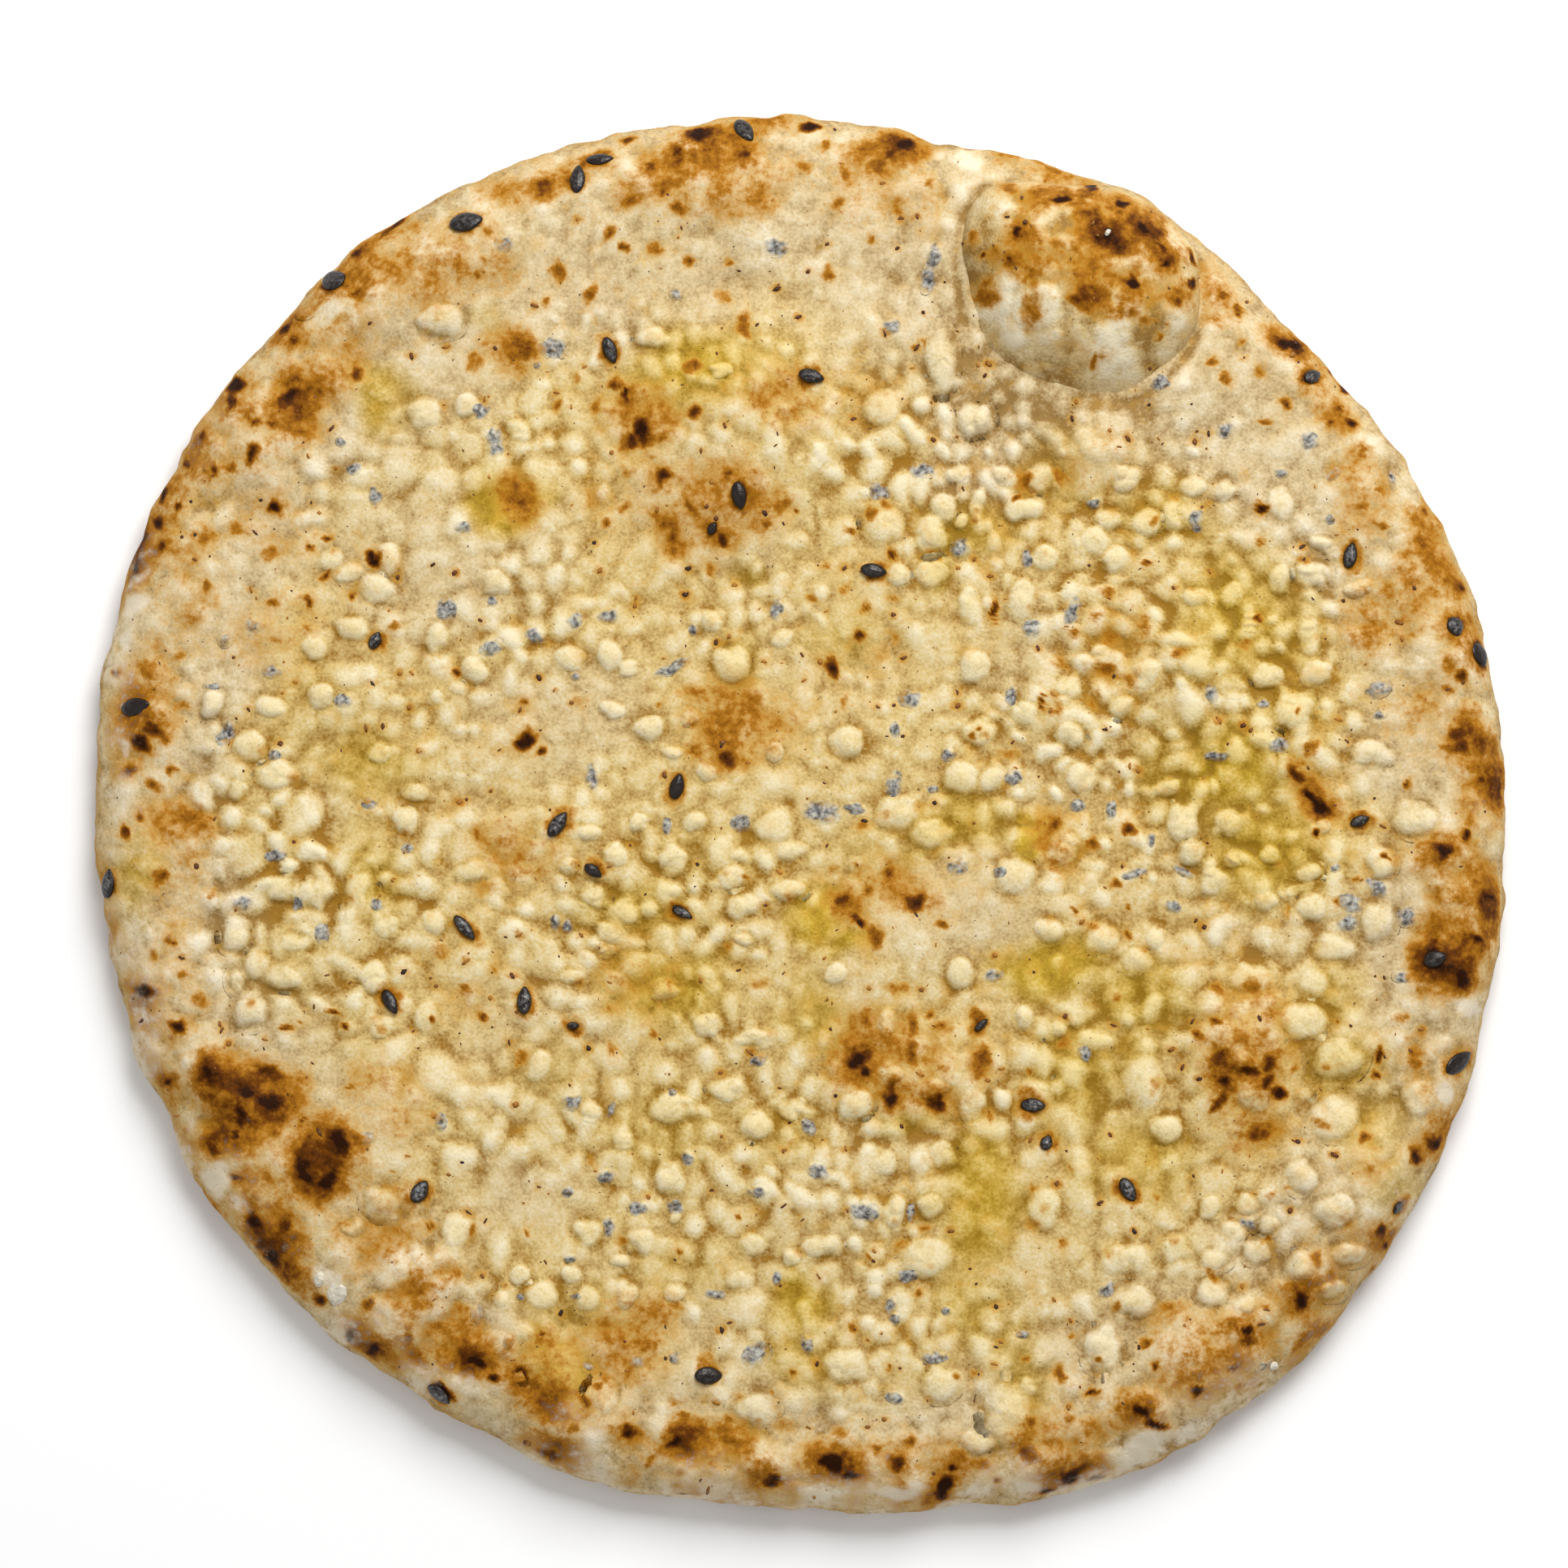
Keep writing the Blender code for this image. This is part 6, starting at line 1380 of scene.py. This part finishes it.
def laid(shape, faces, rows, rise, sink, tilt):
    """Copies of a shape set down on the food: each is sized and turned by its row (x, y, half-length,
    half-width, turn), lifted by rise, sunk by sink and leant by tilt times the ground's slope."""
    x, y, half_x, half_y, turn = (np.array(column)[:, None] for column in zip(*rows))
    dx, dy = turned(shape[..., 0] * half_x, shape[..., 1] * half_y, np.radians(turn))
    step, steepest = 0.8, 0.8
    slope_x = (food_top(x + step, y) - food_top(x - step, y)) / (2 * step)
    slope_y = (food_top(x, y + step) - food_top(x, y - step)) / (2 * step)
    slope_x, slope_y = (np.clip(slope * tilt, -steepest, steepest) for slope in (slope_x, slope_y))
    z = food_top(x, y) - sink + slope_x * dx + slope_y * dy + shape[..., 2] * rise
    return many(x + dx, y + dy, z, faces)


def patches(rows, reach, around, rings):
    """Small round patches, for each row (x, y, half-length, half-width, turn) a fan of rings out to
    that reach: their places, how far out each point is, and their faces, with a tip on both sides."""
    way = np.linspace(0.0, reach, rings + 1)[1:, None]
    turn = np.linspace(0.0, 2 * math.pi, around, endpoint=False)
    flat = np.stack([way * np.cos(turn), way * np.sin(turn)], axis=-1).reshape(-1, 2)
    along, across = np.vstack([flat, [0.0, 0.0], [0.0, 0.0]]).T
    x, y, half_x, half_y, angle = (np.array(column)[:, None] for column in zip(*rows))
    dx, dy = turned(along * half_x, across * half_y, np.radians(angle))
    return x + dx, y + dy, np.hypot(along, across), shell_faces(rings, around)


def build_grains():
    """The curd grains: the same surface again in finer patches over each grain, so that its edge is
    crisp, raised a little and sunk at the patch's own edge."""
    rows = [(*grain, 0.0) for grain in CRISP_GRAINS + SOFT_GRAINS]
    reach = 1.32
    x, y, out, faces = patches(rows, reach, around=28, rings=12)
    z = skin(x, y, crisp=True) + np.interp(out, (0.0, 1.1, reach), (0.08, 0.05, -0.10))
    z[:, -1] -= 1.5
    marks = food_marks(x, y)
    # The tone of the grains' own crisp surface: painted shade at their feet, painted light on their tops held
    # below the brightest.
    marks["hill"] = np.minimum(hill_share(x, y, True), 0.84)
    marks["oil"] = np.maximum(marks["oil"], 0.26 * held(1.15 - out))
    add_piece("curd_grains", *many(x, y, z, faces), cheese_finish(), "cheese", marks)


def build_bare_seeds():
    """The bare sesame seeds: balls drawn to a point at one end, with low ridges."""
    thickness = bpy.context.scene.pizza_sizes.seed_thickness / MM
    unit, faces = ball(around=18, rows=10)
    narrow = 1.0 - 0.38 * held(unit[:, 0]) ** 1.5
    ridged = 1.0 + 0.08 * np.cos(unit[:, 1] * 9.0)
    shape = unit * np.column_stack([np.ones(len(unit)), narrow, ridged])
    points, faces = laid(shape[None], faces, BARE_SEEDS, rise=thickness / 2, sink=-0.18, tilt=0.8)
    draw = np.random.default_rng(SEED + 5)
    # A painted highlight on each seed's top, of a strength drawn for each seed.
    top_highlight = held(unit[:, 2] * 1.8 - 0.8) * draw.uniform(0.0, 0.9, (len(BARE_SEEDS), 1))
    add_piece("sesame_bare", points, faces, seed_material("black_sesame"), "cheese", {"top_highlight": top_highlight})


def build_veiled_seeds():
    """The veiled seeds: small discs of cheese draped over the ground and swollen in the middle."""
    x, y, out, faces = patches(VEILED_SEEDS, reach=1.35, around=20, rings=9)
    z = food_top(x, y) + 0.30 * held(1.0 - out**2) + 0.06 - 0.30 * held(out - 1.0)
    z[:, -1] -= 0.9
    marks = food_marks(x, y)
    ragged = out + 0.45 * rough(x, y, 0.8, 181)
    marks["veil"] = held((1.2 - ragged) / 0.6) * 0.92
    add_piece("sesame_veiled", *many(x, y, z, faces), cheese_finish(), "cheese", marks)


def build_flecks():
    """The bran flecks: flat six-sided scraps draped on the food, thick in their middles."""
    count = bpy.context.scene.pizza_sizes.fleck_count
    x, y, size = (np.array(column)[:, None] for column in zip(*fleck_rows(count)))
    sides = 6
    draw = np.random.default_rng(SEED + 4)
    stretch = draw.uniform(0.55, 1.0, (count, 1))
    turn = draw.uniform(0, math.pi, (count, 1))
    corner = 2 * math.pi * np.arange(sides) / sides + draw.uniform(-0.35, 0.35, (count, sides))
    dx, dy = turned(size * np.cos(corner) / stretch, size * np.sin(corner) * stretch, turn)
    ground = food_top(x, y)
    z = np.hstack([food_top(x + dx, y + dy) - 0.01, ground + 0.06 + 0.15 * size, ground - 0.3])
    x, y = np.hstack([x + dx, x, x]), np.hstack([y + dy, y, y])
    points, faces = many(x, y, z, shell_faces(1, sides))
    shade = np.repeat(draw.random(count) ** 1.6, sides + 2)
    add_piece("bran_flecks", points, faces, fleck_material("toasted_bran"), "cheese", {"shade": shade})


def build_salt():
    """The salt flakes: low balls with few, uneven sides."""
    draw = np.random.default_rng(SEED + 3)
    unit, faces = ball(around=8, rows=5)
    shape = unit * draw.uniform(0.8, 1.15, (len(SALT_FLAKES), len(unit), 1))
    points, faces = laid(shape, faces, SALT_FLAKES, rise=0.7, sink=0.1, tilt=0.6)
    piece = add_piece("salt_flakes", points, faces, salt_material("salt"), "crust")
    piece.data.shade_flat()


def build_stage():
    """The floor, the soft lights and the camera, which looks down nearly from above."""
    scene = bpy.context.scene
    corners = ((-1, -1), (1, -1), (1, 1), (-1, 1))
    mesh = bpy.data.meshes.new("floor")
    places = [(x * FLOOR_REACH, y * FLOOR_REACH, -FLOOR_DROP) for x, y in corners]
    mesh.from_pydata(places, [], [range(4)])
    mesh.materials.append(pale_material("floor"))
    floor = bpy.data.objects.new("floor", mesh)
    scene.collection.objects.link(floor)
    scene.view_settings.view_transform = "Standard"
    scene.world = bpy.data.worlds.new("studio")
    scene.world.use_nodes = True
    sky = scene.world.node_tree.nodes["Background"]
    sky.inputs["Color"].default_value = (1.0, 1.0, 1.0, 1.0)
    sky.inputs["Strength"].default_value = SKY_STRENGTH
    for name, place, size, power in LAMPS:
        lamp = bpy.data.lights.new(name, "AREA")
        lamp.size = size
        lamp.energy = power
        light = bpy.data.objects.new(name, lamp)
        light.location = place
        light.rotation_euler = (-light.location).to_track_quat("-Z", "Y").to_euler()
        scene.collection.objects.link(light)
    data = bpy.data.cameras.new("camera")
    camera = bpy.data.objects.new("camera", data)
    data.lens = data.sensor_width * CAMERA_AWAY / VIEW_WIDTH
    data.clip_end = 20.0
    back = np.array([0.0, -math.cos(CAMERA_TILT), math.sin(CAMERA_TILT)])
    camera.location = np.array(CAMERA_TARGET) + CAMERA_AWAY * back
    camera.rotation_euler = (math.pi / 2 - CAMERA_TILT, 0.0, 0.0)
    scene.collection.objects.link(camera)
    scene.camera = camera


class PIZZA_OT_crust(bpy.types.Operator):
    """Build the bread with its raised rim"""

    bl_idname = "pizza.crust"
    bl_label = "Crust"

    def execute(self, context):
        build_crust()
        return {"FINISHED"}


class PIZZA_OT_bubble(bpy.types.Operator):
    """Build the large dough bubble"""

    bl_idname = "pizza.bubble"
    bl_label = "Bubble"

    def execute(self, context):
        build_bubble()
        return {"FINISHED"}


class PIZZA_OT_cheese(bpy.types.Operator):
    """Build the melted curd cheese"""

    bl_idname = "pizza.cheese"
    bl_label = "Cheese"

    def execute(self, context):
        build_cheese()
        return {"FINISHED"}


class PIZZA_OT_grains(bpy.types.Operator):
    """Build the crisp curd grains"""

    bl_idname = "pizza.grains"
    bl_label = "Curd grains"

    def execute(self, context):
        build_grains()
        return {"FINISHED"}


class PIZZA_OT_bare_seeds(bpy.types.Operator):
    """Build the bare sesame seeds"""

    bl_idname = "pizza.bare_seeds"
    bl_label = "Bare seeds"

    def execute(self, context):
        build_bare_seeds()
        return {"FINISHED"}


class PIZZA_OT_veiled_seeds(bpy.types.Operator):
    """Build the seeds under the cheese"""

    bl_idname = "pizza.veiled_seeds"
    bl_label = "Veiled seeds"

    def execute(self, context):
        build_veiled_seeds()
        return {"FINISHED"}


class PIZZA_OT_flecks(bpy.types.Operator):
    """Build the bran flecks"""

    bl_idname = "pizza.flecks"
    bl_label = "Bran flecks"

    def execute(self, context):
        build_flecks()
        return {"FINISHED"}


class PIZZA_OT_salt(bpy.types.Operator):
    """Build the salt flakes"""

    bl_idname = "pizza.salt"
    bl_label = "Salt"

    def execute(self, context):
        build_salt()
        return {"FINISHED"}


class PIZZA_OT_stage(bpy.types.Operator):
    """Build the floor, the lights and the camera"""

    bl_idname = "pizza.stage"
    bl_label = "Stage"

    def execute(self, context):
        build_stage()
        return {"FINISHED"}


OPERATORS = (
    PIZZA_OT_crust,
    PIZZA_OT_bubble,
    PIZZA_OT_cheese,
    PIZZA_OT_grains,
    PIZZA_OT_bare_seeds,
    PIZZA_OT_veiled_seeds,
    PIZZA_OT_flecks,
    PIZZA_OT_salt,
    PIZZA_OT_stage,
)


class PIZZA_PT_panel(bpy.types.Panel):
    """The sizes, the colours and one button for each piece."""

    bl_label = "Cheese pizza"
    bl_idname = "PIZZA_PT_panel"
    bl_space_type = "VIEW_3D"
    bl_region_type = "UI"
    bl_category = "Pizza"

    def draw(self, context):
        for group in (context.scene.pizza_sizes, context.scene.pizza_colours):
            for name in group.__annotations__:
                self.layout.prop(group, name)
        for kind in OPERATORS:
            self.layout.operator(kind.bl_idname)


CLASSES = (PizzaSizes, PizzaColours, *OPERATORS, PIZZA_PT_panel)


def register():
    """Register the classes and hang the two property groups on the scene."""
    for kind in CLASSES:
        bpy.utils.register_class(kind)
    bpy.types.Scene.pizza_sizes = bpy.props.PointerProperty(type=PizzaSizes)
    bpy.types.Scene.pizza_colours = bpy.props.PointerProperty(type=PizzaColours)


def unregister():
    """Undo register."""
    del bpy.types.Scene.pizza_colours
    del bpy.types.Scene.pizza_sizes
    for kind in reversed(CLASSES):
        bpy.utils.unregister_class(kind)


def main():
    """Register the classes, then build every piece and the stage."""
    register()
    for kind in OPERATORS:
        category, name = kind.bl_idname.split(".")
        getattr(getattr(bpy.ops, category), name)()


if __name__ == "__main__":
    main()
